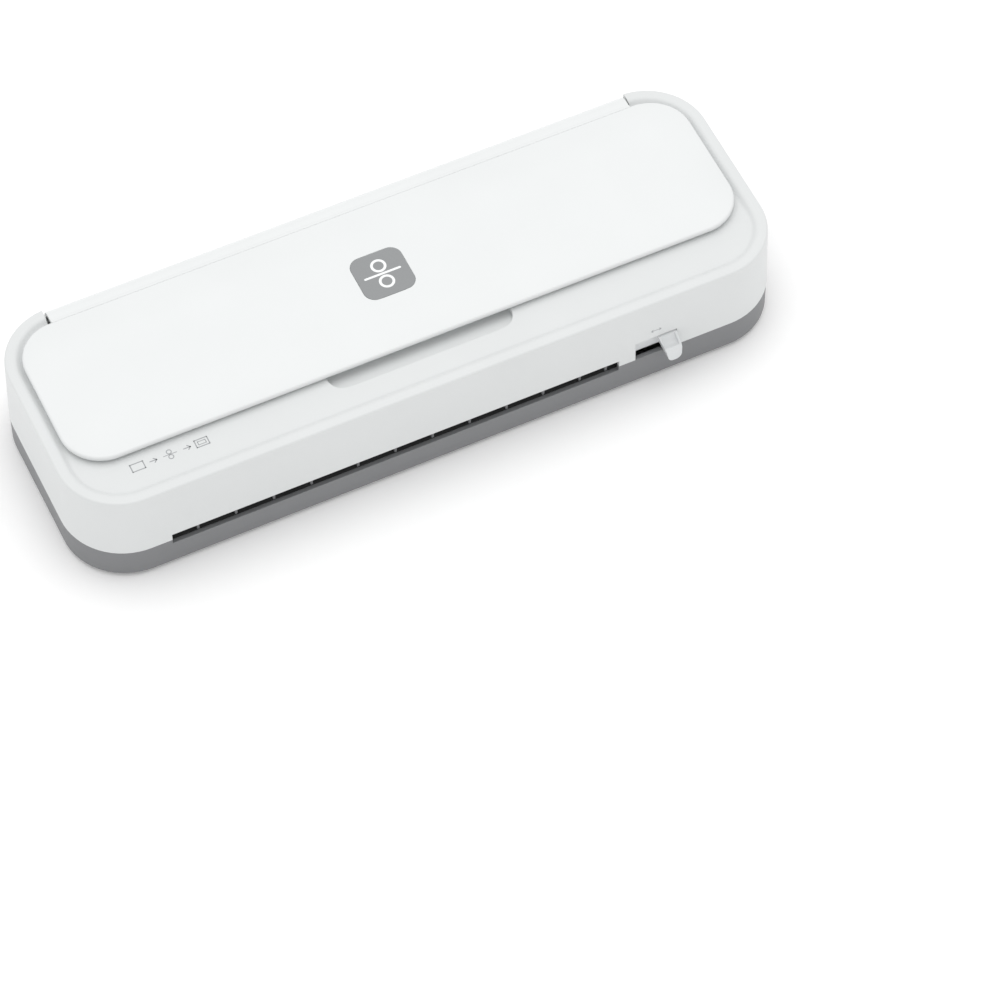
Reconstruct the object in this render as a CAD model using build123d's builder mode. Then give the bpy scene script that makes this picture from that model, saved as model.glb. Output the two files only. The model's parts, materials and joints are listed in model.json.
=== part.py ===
"""A4 pouch laminator: two casings, a lid on a rear hinge, and the heated roller drive inside.

Millimetres. X runs along the machine, Y from the exit slot at the front (-Y) to the hinge at
the back (+Y), Z up. The origin is on the floor under the middle of the machine.
"""

import math
import os

from build123d import *

# Casing
CASE_W = 369.0
CASE_D = 124.6
CORNER_R = 32.5
WALL = 2.4
FOOT_H = 2.0
SEAM_Z = 19.5
RIM_Z = 58.0
DECK_Z = 56.0
DRAFT = 2.0
RIM_FILLET = 1.2
DISH_INSET = 6.4
DISH_SLOPE = 2.7
CEILING_Z = DECK_Z - WALL
FLOOR_Z = FOOT_H + WALL
FRONT_Y = -CASE_D / 2
FRONT_IN_Y = FRONT_Y + WALL

# Film slot, which sets the width of everything that the pouch passes
SLOT_X0 = -141.3
SLOT_X1 = 91.8
SLOT_MID_X = (SLOT_X0 + SLOT_X1) / 2
SLOT_LOW_Z = 16.5
SLOT_TOP_Z = 23.4
RIB_TOP_Z = 19.0
RIB_T = 1.3
RIB_PITCH = 19.47
RIB_FIRST_X = -127.2
RIB_FIFTH_X = -44.6
RIB_LAST_X = 86.1
GUIDE_X0 = SLOT_X0 - 2.2
GUIDE_X1 = SLOT_X1 + 3.7
FEED_Y0 = 36.0
FEED_Y1 = 43.0
DECK_FRONT_Y = -52.0

# Finger scoop in front of the lid
SCOOP_W = 95.6
SCOOP_D = 17.6
SCOOP_Y = -32.8
SCOOP_R = 8.0
SCOOP_RAMP = [(-43, 55.1), (-38, 54.0), (-33, 52.9), (-28.5, 52.4), (-28.5, 60), (-43, 60)]

# Lid and its hinge
LID_W = 349.5
LID_R = 21.0
LID_Y0 = -34.0
LID_Y1 = 50.5
LID_Z = 57.0
LID_EDGE_Z = 60.2
LID_TOP_Z = 62.3
LID_SKIN = 2.2
BADGE_SIZE = 26.4
BADGE_R = 6.0
BADGE_T = 0.5
BADGE_Y = 7.9
STRIP_X = 152.8
STRIP_TOP_Z = 59.0
STRIP_R = 6.5
POCKET_X = STRIP_X + 1.1
POCKET_Y = 47.0
POCKET_Z = 43.9
HINGE_Y = 58.4
HINGE_Z = 48.0
KNUCKLE_R = 2.9
PIN_R = 1.5
PIN_X0 = 146.0
PIN_X1 = 157.4

# Release lever in its notch
NOTCH_X0 = 100.7
NOTCH_X1 = 122.7
NOTCH_TOP_Z = 31.8
LEVER_X0 = 112.4
LEVER_X1 = 122.4
LEVER_REACH = 6.4
LEVER_TIP_R = 3.7
LEVER_TIP_Z = 20.6
LEVER_DISH_R = 3.9
LEVER_RIM = 1.1
LEVER_TRAVEL = 8.5
NIP_LIFT = 1.2
COVER_X0 = NOTCH_X0 - 0.4
COVER_X1 = NOTCH_X1 + 9.2
COVER_T = 1.5
PLATE_Y = FRONT_IN_Y + 0.9

# Film path: one straight line through the nip, down towards the exit
NIP_Y = -18.0
NIP_Z = 33.5
PATH_DEG = 16.0
ROLLER_GAP = 0.3
GEAR_MODULE = 1.0
ROLLER_TEETH = 18
IDLER_TEETH = 24
PINION_TEETH = 14
PRESSURE_DEG = 20.0
BACKLASH = 0.28
SHAFT_R = 4.0
SHAFT_PLAY = 0.05
BUSH_R = 6.0
SIDE_T = 1.6
SIDE_X0 = -145.0
SIDE_X1 = 97.0
GEAR_X0 = 100.0
GEAR_X1 = 107.0
MOTOR_R = 18.0
MOTOR_L = 22.0
MOTOR_SHAFT_R = 1.5
IDLER_PIN_R = 2.0

# Power button and its board, under the lid
BUTTON_X = 152.0
BUTTON_Y = -16.0
BUTTON_R = 6.0
BUTTON_TRAVEL = 2.5
BUTTON_TOP_Z = 56.8
LENS_XS = (138.0, 131.0)
LENS_R = 1.6
SWITCH_Z = 42.0
PCB_T = 1.6

# Mains gland and fasteners
GLAND_X = 118.0
GLAND_Z = 30.0
GLAND_R = 5.0
POSTS = [(-162, -38), (162, -38), (-162, 38), (162, 38), (-60, 52), (60, 52)]
POST_R = 3.6
SCREW_R = 1.2
SCREW_HEAD_R = 2.8
SCREW_HEAD_Z = 10.4
SCREW_SEAT_Z = 12.4
SCREW_END_Z = 27.0
FEET = [(-150, -42), (150, -42), (-150, 42), (150, 42)]
FOOT_R = 7.0

os.makedirs("parts", exist_ok=True)


def save(builder, name):
    """Label a finished piece and write it as one STEP file."""
    builder.part.label = name
    export_step(builder.part, f"parts/{name}.step")


def case_outline(inset=0.0):
    """The casing's plan at the seam, moved inwards."""
    return RectangleRounded(CASE_W - 2 * inset, CASE_D - 2 * inset, CORNER_R - inset)


def block(x0, x1, y0, y1, z0, z1, mode=Mode.ADD):
    """A box between two corners."""
    with Locations(((x0 + x1) / 2, (y0 + y1) / 2, (z0 + z1) / 2)):
        Box(x1 - x0, y1 - y0, z1 - z0, mode=mode)


def prism(x0, x1, points, mode=Mode.ADD):
    """A side profile, given as (y, z) points, run from x0 to x1."""
    with BuildSketch(Plane.YZ.offset(x0)) as profile:
        Polygon(*points, align=None)
    extrude(profile.sketch, amount=x1 - x0, mode=mode)


def rod(x0, x1, y, z, radius, mode=Mode.ADD):
    """A round bar along X."""
    with BuildSketch(Plane.YZ.offset(x0)) as profile:
        with Locations((y, z)):
            Circle(radius)
    extrude(profile.sketch, amount=x1 - x0, mode=mode)


def post(x, y, z0, z1, radius, mode=Mode.ADD):
    """A round bar along Z."""
    with BuildSketch(Plane.XY.offset(z0)) as profile:
        with Locations((x, y)):
            Circle(radius)
    extrude(profile.sketch, amount=z1 - z0, mode=mode)


def on_path(along, above):
    """(y, z) of a point on the film path: along is towards the exit, above is off the film."""
    a = math.radians(PATH_DEG)
    y = NIP_Y - along * math.cos(a) - above * math.sin(a)
    z = NIP_Z - along * math.sin(a) + above * math.cos(a)
    return (y, z)


def path_bar(x0, x1, side, points):
    """A bar along the film path, given as (along, off the film) points. side is +1 above the film."""
    prism(x0, x1, [on_path(along, side * off) for along, off in points])


def step_from(centre, distance, degrees):
    """The centre of the next gear in the train."""
    a = math.radians(degrees)
    return (centre[0] + distance * math.cos(a), centre[1] + distance * math.sin(a))


def direction(a, b):
    """Direction in degrees from centre a to centre b, in the YZ plane."""
    return math.degrees(math.atan2(b[1] - a[1], b[0] - a[0]))


def meshed(phase, teeth, degrees, next_teeth):
    """Phase of the next gear so that its gap meets this gear's tooth on the line of centres."""
    lead = (phase - degrees) % (360 / teeth)
    return degrees + 180 - lead * teeth / next_teeth + 180 / next_teeth


def gear_outline(teeth, phase, centre):
    """The corner points of an involute gear in the YZ plane, with one tooth at the phase."""
    pitch_r = GEAR_MODULE * teeth / 2
    base_r = pitch_r * math.cos(math.radians(PRESSURE_DEG))
    root_r = pitch_r - 1.2 * GEAR_MODULE
    outer_r = pitch_r + 0.85 * GEAR_MODULE
    at_pitch = (math.pi * GEAR_MODULE / 2 - BACKLASH) / 2 / pitch_r

    def involute(radius):
        a = math.acos(min(1.0, base_r / radius))
        return math.tan(a) - a

    def half_tooth(radius):
        return at_pitch + involute(pitch_r) - involute(max(radius, base_r))

    radii = [root_r, max(base_r, root_r + 0.1), pitch_r, outer_r]
    flank = [(r, half_tooth(r)) for r in radii]
    tooth = [(r, -a) for r, a in flank] + [(r, a) for r, a in reversed(flank)]
    points = []
    for k in range(teeth):
        middle = math.radians(phase + 360 * k / teeth)
        for r, a in tooth:
            points.append((centre[0] + r * math.cos(middle + a), centre[1] + r * math.sin(middle + a)))
    return points


def gear(x0, x1, teeth, phase, centre, bore_r, hub_r):
    """A spur gear with its hub and bore, inside a BuildPart block."""
    prism(x0, x1, gear_outline(teeth, phase, centre))
    rod(x0 - 0.8, x1 + 0.8, centre[0], centre[1], hub_r)
    rod(x0 - 2, x1 + 2, centre[0], centre[1], bore_r, mode=Mode.SUBTRACT)


def coil(x, y, z0, z1, radius, wire_r, turns):
    """A compression spring standing on z0, inside a BuildPart block."""
    height = z1 - z0 - 2 * wire_r
    with BuildLine(Plane.XY.offset(z0 + wire_r)) as line:
        with Locations((x, y)):
            Helix(height / turns, height, radius, center=(x, y, 0))
    with BuildSketch(Plane(line.line @ 0, z_dir=line.line % 0)) as wire:
        Circle(wire_r)
    sweep(wire.sketch, path=line.line, is_frenet=True)


CENTRE_DISTANCE = GEAR_MODULE * ROLLER_TEETH
ROLLER_R = (CENTRE_DISTANCE - ROLLER_GAP) / 2
LOWER = on_path(0, -CENTRE_DISTANCE / 2)
UPPER = on_path(0, CENTRE_DISTANCE / 2)
IDLER = step_from(LOWER, GEAR_MODULE * (ROLLER_TEETH + IDLER_TEETH) / 2, 8)
MOTOR = step_from(IDLER, GEAR_MODULE * (IDLER_TEETH + PINION_TEETH) / 2, 15)
LOWER_PHASE = direction(LOWER, IDLER)
IDLER_PHASE = meshed(LOWER_PHASE, ROLLER_TEETH, direction(LOWER, IDLER), IDLER_TEETH)
PINION_PHASE = meshed(IDLER_PHASE, IDLER_TEETH, direction(IDLER, MOTOR), PINION_TEETH)
UPPER_PHASE = meshed(LOWER_PHASE, ROLLER_TEETH, direction(LOWER, UPPER), ROLLER_TEETH)
RIB_XS = [RIB_FIRST_X + RIB_PITCH * k for k in range(4)]
RIB_XS += [RIB_FIFTH_X + RIB_PITCH * k for k in range(7)] + [RIB_LAST_X]

# ---------------------------------------------------------------- casings

with BuildPart() as outer_form:
    with BuildSketch(Plane.XY.offset(SEAM_Z)):
        case_outline()
    extrude(amount=RIM_Z - SEAM_Z, taper=DRAFT)
    fillet(outer_form.faces().sort_by(Axis.Z)[-1].edges(), RIM_FILLET)

with BuildPart() as dish:
    with BuildSketch(Plane.XY.offset(RIM_Z)):
        case_outline(DISH_INSET)
    with BuildSketch(Plane.XY.offset(DECK_Z)):
        case_outline(DISH_INSET + DISH_SLOPE)
    loft(ruled=True)

with BuildPart() as scoop:
    with BuildSketch(Plane.XY.offset(DECK_Z - 6)):
        with Locations((0, SCOOP_Y)):
            RectangleRounded(SCOOP_W, SCOOP_D, SCOOP_R)
    extrude(amount=8)
    with BuildSketch(Plane.YZ.offset(-SCOOP_W)):
        Polygon(*SCOOP_RAMP, align=None)
    extrude(amount=2 * SCOOP_W, mode=Mode.INTERSECT)

with BuildPart() as upper_shell:
    add(outer_form.part)
    add(dish.part, mode=Mode.SUBTRACT)
    dish_edges = [
        e for e in upper_shell.edges()
        if abs(e.center().Z - RIM_Z) < 0.01 and e.bounding_box().size.Z < 0.01
    ]
    fillet(dish_edges, 4.0)
    foot_edges = [
        e for e in upper_shell.edges()
        if abs(e.center().Z - DECK_Z) < 0.01 and e.bounding_box().size.Z < 0.01
    ]
    fillet(foot_edges, 3.0)
    with BuildSketch(Plane.XY.offset(SEAM_Z)):
        case_outline(WALL)
    extrude(amount=CEILING_Z - SEAM_Z, taper=DRAFT, mode=Mode.SUBTRACT)
    block(-POCKET_X - WALL, POCKET_X + WALL, POCKET_Y - WALL, 60, POCKET_Z - WALL, CEILING_Z + 1)
    block(-52, 52, -44.5, -26.6, 50.4, CEILING_Z + 1)
    for side in (-1, 1):
        rod(side * POCKET_X, side * (POCKET_X + 7), HINGE_Y, HINGE_Z, 5.0)
    for x, y in POSTS:
        post(x, y, SEAM_Z, POCKET_Z - 0.5 if abs(x) < 100 else CEILING_Z + 0.5, POST_R)
    for x in (BUTTON_X - 20, BUTTON_X + 10):
        post(x, BUTTON_Y + 8, SWITCH_Z + PCB_T, CEILING_Z + 0.5, 2.0)
    add(outer_form.part, mode=Mode.INTERSECT)
    block(-POCKET_X, POCKET_X, POCKET_Y, 80, POCKET_Z, 70, mode=Mode.SUBTRACT)
    for side in (-1, 1):
        rod(side * (POCKET_X - 1), side * (PIN_X1 + 0.3), HINGE_Y, HINGE_Z, PIN_R + SHAFT_PLAY,
            mode=Mode.SUBTRACT)
    add(scoop.part, mode=Mode.SUBTRACT)
    block(SLOT_X0, SLOT_X1, FRONT_Y - 2, FRONT_IN_Y + 2, SEAM_Z - 1, SLOT_TOP_Z, mode=Mode.SUBTRACT)
    block(NOTCH_X0, NOTCH_X1, FRONT_Y - 2, FRONT_IN_Y + 2, SEAM_Z - 1, NOTCH_TOP_Z, mode=Mode.SUBTRACT)
    block(SLOT_X0, SLOT_X1, FEED_Y0, FEED_Y1, CEILING_Z - 1, DECK_Z + 1, mode=Mode.SUBTRACT)
    post(BUTTON_X, BUTTON_Y, CEILING_Z - 1, DECK_Z + 1, BUTTON_R + 0.4, mode=Mode.SUBTRACT)
    for x in LENS_XS:
        post(x, BUTTON_Y, CEILING_Z - 1, DECK_Z + 1, LENS_R, mode=Mode.SUBTRACT)
    for x, y in POSTS:
        post(x, y, SEAM_Z - 1, SCREW_END_Z + 2, SCREW_R, mode=Mode.SUBTRACT)
    with BuildSketch(Plane.XZ.offset(-CASE_D / 2 - 1)):
        with Locations((GLAND_X, GLAND_Z)):
            Circle(GLAND_R)
        with Locations((0, 30)):
            with GridLocations(7, 1, 13, 1):
                SlotOverall(14, 2.2, rotation=90)
    extrude(amount=6, mode=Mode.SUBTRACT)

# The upper casing is one moulding. It is kept as five touching pieces, so that each slot and recess
# lies between simple shapes.
FEED_MID_Y = (FEED_Y0 + FEED_Y1) / 2
for name, x0, x1, y0, y1 in (
    ("upper_shell_front", SLOT_X0, SLOT_X1, -CASE_D, DECK_FRONT_Y),
    ("upper_shell_deck", SLOT_X0, SLOT_X1, DECK_FRONT_Y, FEED_MID_Y),
    ("upper_shell_rear", SLOT_X0, SLOT_X1, FEED_MID_Y, CASE_D),
    ("upper_shell_left", -CASE_W, SLOT_X0, -CASE_D, CASE_D),
    ("upper_shell_right", SLOT_X1, CASE_W, -CASE_D, CASE_D),
):
    with BuildPart() as zone:
        block(x0, x1, y0, y1, 0, 2 * RIM_Z)
        add(upper_shell.part, mode=Mode.INTERSECT)
    save(zone, name)

with BuildPart() as base_shell:
    with BuildSketch(Plane.XY.offset(FOOT_H)):
        case_outline(0.2)
    extrude(amount=SEAM_Z - FOOT_H)
    fillet(base_shell.faces().sort_by(Axis.Z)[0].edges(), 1.2)
    with BuildSketch(Plane.XY.offset(FLOOR_Z)):
        case_outline(WALL + 0.2)
    extrude(amount=SEAM_Z, mode=Mode.SUBTRACT)
    for x, y in POSTS:
        post(x, y, FLOOR_Z - 0.5, SEAM_Z, 4.6)
    for x in (140, 172):
        for y in (-27, 25):
            post(x, y, FLOOR_Z - 0.5, 8, 2.5)
    block(SLOT_X0, SLOT_X1, FRONT_Y - 2, FRONT_IN_Y + 2, SLOT_LOW_Z, SEAM_Z + 1, mode=Mode.SUBTRACT)
    for x, y in POSTS:
        post(x, y, 0, SEAM_Z + 1, SCREW_R + 0.4, mode=Mode.SUBTRACT)
        post(x, y, 0, SCREW_SEAT_Z, SCREW_HEAD_R + 0.3, mode=Mode.SUBTRACT)
    for x, y in FEET:
        post(x, y, 0, FOOT_H + 0.8, FOOT_R, mode=Mode.SUBTRACT)
    with BuildSketch(Plane.XY.offset(FOOT_H - 1)):
        with Locations((-90, 0)):
            with GridLocations(6, 30, 12, 2):
                SlotOverall(22, 2.4, rotation=90)
        with Locations((150, 0)):
            with GridLocations(6, 1, 6, 1):
                SlotOverall(22, 2.4, rotation=90)
    extrude(amount=WALL + 2, mode=Mode.SUBTRACT)
    with BuildSketch(Plane.XY.offset(FOOT_H)):
        with Locations((30, 0)):
            RectangleRounded(72, 40, 2)
    extrude(amount=0.5, mode=Mode.SUBTRACT)
save(base_shell, "base_shell")

for number, (x, y) in enumerate(FEET, 1):
    with BuildPart() as foot:
        post(x, y, 0, FOOT_H + 0.8, FOOT_R - 0.1)
        fillet(foot.faces().sort_by(Axis.Z)[0].edges(), 0.8)
    save(foot, f"rubber_foot_{number}")

with BuildPart() as case_screws:
    for x, y in POSTS:
        post(x, y, SCREW_HEAD_Z, SCREW_SEAT_Z, SCREW_HEAD_R)
        post(x, y, SCREW_SEAT_Z, SCREW_END_Z, SCREW_R)
        with BuildSketch(Plane.XY.offset(SCREW_HEAD_Z)):
            with Locations((x, y)):
                Rectangle(3.6, 0.8)
                Rectangle(0.8, 3.6)
        extrude(amount=1.2, mode=Mode.SUBTRACT)
save(case_screws, "case_screws")

with BuildPart() as cord_gland:
    with BuildSketch(Plane.XZ.offset(-58.0)):
        with Locations((GLAND_X, GLAND_Z)):
            Circle(GLAND_R + 2.2)
    extrude(amount=-1.2)
    with BuildSketch(Plane.XZ.offset(-59.2)):
        with Locations((GLAND_X, GLAND_Z)):
            Circle(GLAND_R - 0.1)
    extrude(amount=-3.2)
    with BuildSketch(Plane.XZ.offset(-62.4)):
        with Locations((GLAND_X, GLAND_Z)):
            Circle(GLAND_R + 2)
    extrude(amount=-(-FRONT_Y + LEVER_REACH - 62.4), taper=14)
    with BuildSketch(Plane.XZ.offset(-55)):
        with Locations((GLAND_X, GLAND_Z)):
            Circle(3.3)
    extrude(amount=-20, mode=Mode.SUBTRACT)
save(cord_gland, "cord_gland")

# ---------------------------------------------------------------- film guides

with BuildPart() as exit_guide_lower:
    prism(GUIDE_X0, GUIDE_X1, [(-59.7, 16.4), (-30.5, 26.2), (-30.5, 24.6), (-57, 15.6), (-59.7, 14.6)])
    for x in RIB_XS:
        end_z = RIB_TOP_Z + (59.5 - 31.5) * 0.335
        prism(x - RIB_T / 2, x + RIB_T / 2, [(-59.5, 16.0), (-59.5, RIB_TOP_Z), (-31.5, end_z), (-31.5, 25.4)])
save(exit_guide_lower, "exit_guide_lower")

with BuildPart() as exit_guide_upper:
    prism(GUIDE_X0, GUIDE_X1, [
        (-58.6, 24.0), (-31.6, 33.2), (-31.6, 34.8), (-57.2, 26.1), (-57.2, 30), (-58.6, 30)])
    block(COVER_X0 - LEVER_TRAVEL - 0.5, GUIDE_X1 + 1, -60, PLATE_Y + COVER_T + 0.4, 23, 31, mode=Mode.SUBTRACT)
save(exit_guide_upper, "exit_guide_upper")

with BuildPart() as feed_guide_front:
    prism(GUIDE_X0, GUIDE_X1, [
        (35.9, 53.5), (34.3, 53.5), (30, 50.4), (16.6, 46.9), (16.6, 45.4), (30.6, 48.6), (35.9, 52.2)])
save(feed_guide_front, "feed_guide_front")

with BuildPart() as feed_guide_rear:
    prism(GUIDE_X0, GUIDE_X1, [
        (43.1, 53.5), (44.5, 53.5), (44.5, 51.2), (35.5, 45.2), (16.6, 40.2), (16.6, 41.8), (34.8, 46.7),
        (43.1, 52.2)])
save(feed_guide_rear, "feed_guide_rear")

# ---------------------------------------------------------------- roller frame


def side_plate(x0, inner):
    """One side of the roller frame. inner is +1 when the rollers are on its +X side."""
    prism(x0, x0 + SIDE_T, [(-50, FLOOR_Z), (34, FLOOR_Z), (34, 38), (24, 52.6), (-34, 52.6), (-50, 40)])
    foot_x = x0 + SIDE_T if inner < 0 else x0 - 8
    block(foot_x, foot_x + 8, -20, 20, FLOOR_Z, FLOOR_Z + SIDE_T)
    rod(x0 - 1, x0 + SIDE_T + 1, *LOWER, BUSH_R, mode=Mode.SUBTRACT)
    top_z = UPPER[1] + BUSH_R + NIP_LIFT + 0.4
    block(x0 - 1, x0 + 3, UPPER[0] - BUSH_R - 0.1, UPPER[0] + BUSH_R + 0.1, UPPER[1] - BUSH_R - 0.1, top_z,
          mode=Mode.SUBTRACT)
    block(x0 - 1, x0 + 3, -38.5, -31.5, 34.5, 43.5, mode=Mode.SUBTRACT)
    tab_x = x0 + SIDE_T if inner > 0 else x0 - 3.4
    block(tab_x, tab_x + 3.4, UPPER[0] - 4, UPPER[0] + 4, 51.6, 52.6)


with BuildPart() as side_frame_left:
    side_plate(SIDE_X0 - SIDE_T, 1)
save(side_frame_left, "side_frame_left")

with BuildPart() as side_frame_right:
    side_plate(SIDE_X1, -1)
save(side_frame_right, "side_frame_right")

for name, y, z in (("tie_bar_front", -44, 9), ("tie_bar_rear", 28, 12)):
    with BuildPart() as tie_bar:
        block(SIDE_X0, SIDE_X1, y - 3, y + 3, z - 3, z + 3)
        block(SIDE_X0 - 1, SIDE_X1 + 1, y - 1.8, y + 3.1, z - 1.8, z + 3.1, mode=Mode.SUBTRACT)
    save(tie_bar, name)

SHOE = [(-34, 1.6), (-31, 0.9), (-11, 0.9), (-10.5, 1.4), (-12, 5.8), (-18, 5.8), (-18, 3.6), (-27, 3.6),
        (-27, 5.8), (-34, 5.8)]
ELEMENT = [(-26.6, 3.6), (-18.4, 3.6), (-18.4, 5.2), (-26.6, 5.2)]
for name, side in (("upper", 1), ("lower", -1)):
    with BuildPart() as shoe:
        path_bar(SIDE_X0 + 0.2, SIDE_X1 - 0.2, side, SHOE)
    save(shoe, f"heater_shoe_{name}")
    with BuildPart() as element:
        path_bar(SIDE_X0 + 4, SIDE_X1 - 4, side, ELEMENT)
    save(element, f"heater_element_{name}")

with BuildPart() as thermostat:
    off_film = [b - a for a, b in zip(on_path(0, 0), on_path(0, 1))]
    seat = Plane(origin=(SLOT_MID_X, *on_path(-15, 5.8)), x_dir=(1, 0, 0), z_dir=(0, *off_film))
    with BuildSketch(seat):
        Rectangle(18, 5)
    extrude(amount=1)
    with BuildSketch(seat.offset(1)):
        Circle(2.5)
    extrude(amount=3)
save(thermostat, "thermostat")

with BuildPart() as thermal_fuse:
    rod(SLOT_MID_X + 30, SLOT_MID_X + 44, *on_path(-14.8, 7.4), 1.6)
save(thermal_fuse, "thermal_fuse")

# ---------------------------------------------------------------- rollers and their bushes


def roller(centre, name, phase):
    """Shaft, silicone sleeve and end gear of one roller."""
    y, z = centre
    with BuildPart() as shaft:
        rod(SIDE_X0 - 6, GEAR_X1 + 1.6, y, z, SHAFT_R)
        chamfer(shaft.edges().filter_by(GeomType.CIRCLE), 0.5)
    save(shaft, f"{name}_shaft")
    with BuildPart() as sleeve:
        rod(SLOT_X0 + 0.3, SLOT_X1 - 0.3, y, z, ROLLER_R)
        fillet(sleeve.edges().filter_by(GeomType.CIRCLE), 0.6)
        rod(SLOT_X0 - 1, SLOT_X1 + 1, y, z, SHAFT_R, mode=Mode.SUBTRACT)
    save(sleeve, f"{name}_sleeve")
    with BuildPart() as end_gear:
        gear(GEAR_X0 + 0.8, GEAR_X1, ROLLER_TEETH, phase, centre, SHAFT_R, 5.6)
    save(end_gear, f"{name}_gear")


roller(LOWER, "lower_roller", LOWER_PHASE)
roller(UPPER, "upper_roller", UPPER_PHASE)

for name, x0, sign in (("left", SIDE_X0, -1), ("right", SIDE_X1, 1)):
    with BuildPart() as lower_bush:
        rod(x0, x0 + sign * SIDE_T, *LOWER, BUSH_R)
        rod(x0, x0 - sign * 1.6, *LOWER, BUSH_R + 1.2)
        rod(x0 - 5, x0 + 5, *LOWER, SHAFT_R + SHAFT_PLAY, mode=Mode.SUBTRACT)
    save(lower_bush, f"lower_bush_{name}")
    with BuildPart() as upper_bush:
        inside = x0 - sign * 0.3
        rod(x0 - sign * 0.3, x0 + sign * (SIDE_T + 0.3), *UPPER, BUSH_R)
        block(*sorted((inside, inside - sign * 2.4)), UPPER[0] - BUSH_R - 1, UPPER[0] + BUSH_R + 1,
              UPPER[1] - 6.6, UPPER[1] + BUSH_R)
        block(*sorted((inside, inside - sign * 2.4)), -38, UPPER[0], 41.3, 44.3)
        rod(x0 - 5, x0 + 5, *UPPER, SHAFT_R + SHAFT_PLAY, mode=Mode.SUBTRACT)
    save(upper_bush, f"upper_bush_{name}")
    with BuildPart() as nip_spring:
        coil(x0 - sign * 1.5, UPPER[0], UPPER[1] + BUSH_R + 0.05, 51.55, 1.1, 0.3, 3)
    save(nip_spring, f"nip_spring_{name}")

# ---------------------------------------------------------------- drive

with BuildPart() as gear_plate:
    prism(GEAR_X1 + 2.4, GEAR_X1 + 4.0, [(-8, 12), (44, 12), (44, 50), (-8, 50)])
    rod(GEAR_X1, GEAR_X1 + 6, *MOTOR, 6.0, mode=Mode.SUBTRACT)
    rod(GEAR_X1, GEAR_X1 + 6, *IDLER, IDLER_PIN_R, mode=Mode.SUBTRACT)
    for y, z in ((30, 15.5), (30, 47.5)):
        rod(SIDE_X1 + SIDE_T, GEAR_X1 + 2.4, y, z, 2.5)
save(gear_plate, "gear_plate")

with BuildPart() as drive_motor:
    rod(GEAR_X1 + 4, GEAR_X1 + 4 + MOTOR_L, *MOTOR, MOTOR_R)
    fillet(drive_motor.edges().filter_by(GeomType.CIRCLE), 1.5)
    rod(GEAR_X1 + 2.6, GEAR_X1 + 4.5, *MOTOR, 5.8)
    rod(GEAR_X0 + 1, GEAR_X1 + 3, *MOTOR, MOTOR_SHAFT_R)
    terminal_z = MOTOR[1] - MOTOR_R
    block(GEAR_X1 + 6, GEAR_X1 + 18, MOTOR[0] - 7, MOTOR[0] + 7, terminal_z - 2.6, terminal_z + 3)
save(drive_motor, "drive_motor")

with BuildPart() as motor_pinion:
    gear(GEAR_X0 + 0.8, GEAR_X1, PINION_TEETH, PINION_PHASE, MOTOR, MOTOR_SHAFT_R + SHAFT_PLAY, 4.0)
save(motor_pinion, "motor_pinion")

with BuildPart() as idler_gear:
    gear(GEAR_X0 + 0.8, GEAR_X1, IDLER_TEETH, IDLER_PHASE, IDLER, IDLER_PIN_R + SHAFT_PLAY, 4.6)
save(idler_gear, "idler_gear")

with BuildPart() as idler_pin:
    rod(SIDE_X1 + SIDE_T, GEAR_X1 + 4, *IDLER, IDLER_PIN_R)
save(idler_pin, "idler_pin")

# ---------------------------------------------------------------- release lever

with BuildPart() as release_lever:
    nose_y = FRONT_Y - LEVER_REACH
    tip_x = LEVER_X1 - LEVER_TIP_R
    prism(LEVER_X0, LEVER_X1, [
        (PLATE_Y, 31.4), (FRONT_Y - 0.3, 31.2), (nose_y + 0.6, 27.4), (nose_y, 26.0), (nose_y, 17.8),
        (nose_y + 0.8, 16.9), (nose_y + 2.2, 17.1), (FRONT_Y - 0.9, 20.4), (PLATE_Y, 21.2)])
    with BuildSketch(Plane.XZ.offset(-PLATE_Y)):
        Polygon(
            (LEVER_X0, 40), (LEVER_X0, 31.5), (tip_x - LEVER_TIP_R, LEVER_TIP_Z), (LEVER_X1, LEVER_TIP_Z),
            (LEVER_X1, 40), align=None)
        with Locations((tip_x, LEVER_TIP_Z)):
            Circle(LEVER_TIP_R)
    extrude(amount=20, mode=Mode.INTERSECT)
    with BuildSketch(Plane.YZ.offset(LEVER_X0 + LEVER_RIM)):
        with Locations((FRONT_Y - 4.2, 31.2)):
            Circle(LEVER_DISH_R)
    extrude(amount=LEVER_X1 - LEVER_X0 - 2 * LEVER_RIM, mode=Mode.SUBTRACT)
    block(COVER_X0, COVER_X1, PLATE_Y, PLATE_Y + COVER_T, 22.3, 33.4)
    block(118, 126, PLATE_Y + COVER_T - 0.1, PLATE_Y + 3.4, 27, 39.4)
save(release_lever, "release_lever")

with BuildPart() as release_slide:
    block(-147, 126, -37, -33, 36.2, 38.6)
    block(118, 126, PLATE_Y + 3.4, -36, 36.2, 39.4)
    slope = NIP_LIFT / LEVER_TRAVEL
    for x in (SIDE_X0 + 2.7, SIDE_X1 - 0.3):
        high = 41.0 + slope * LEVER_TRAVEL
        end = x + LEVER_TRAVEL
        with BuildSketch(Plane.XZ.offset(33.2)):
            Polygon(
                (x - 4, 38), (x - 4, 41.0 - 4 * slope), (end, high), (end + 1, high), (end + 1, 38), align=None)
        extrude(amount=3.6)
save(release_slide, "release_slide")

# ---------------------------------------------------------------- boards, button, lenses

with BuildPart() as control_board:
    block(137, 175, -30, 28, 8, 8 + PCB_T)
save(control_board, "control_board")

with BuildPart() as board_parts:
    block(141, 153, 8, 24, 9.6, 25)
    block(158, 171, 10, 22, 9.6, 20)
    post(146, -4, 9.6, 24, 5)
    post(159, -4, 9.6, 21, 4)
    block(141, 147, -26, -14, 9.6, 18)
    block(156, 172, -27, -19, 9.6, 19)
save(board_parts, "board_parts")

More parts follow.
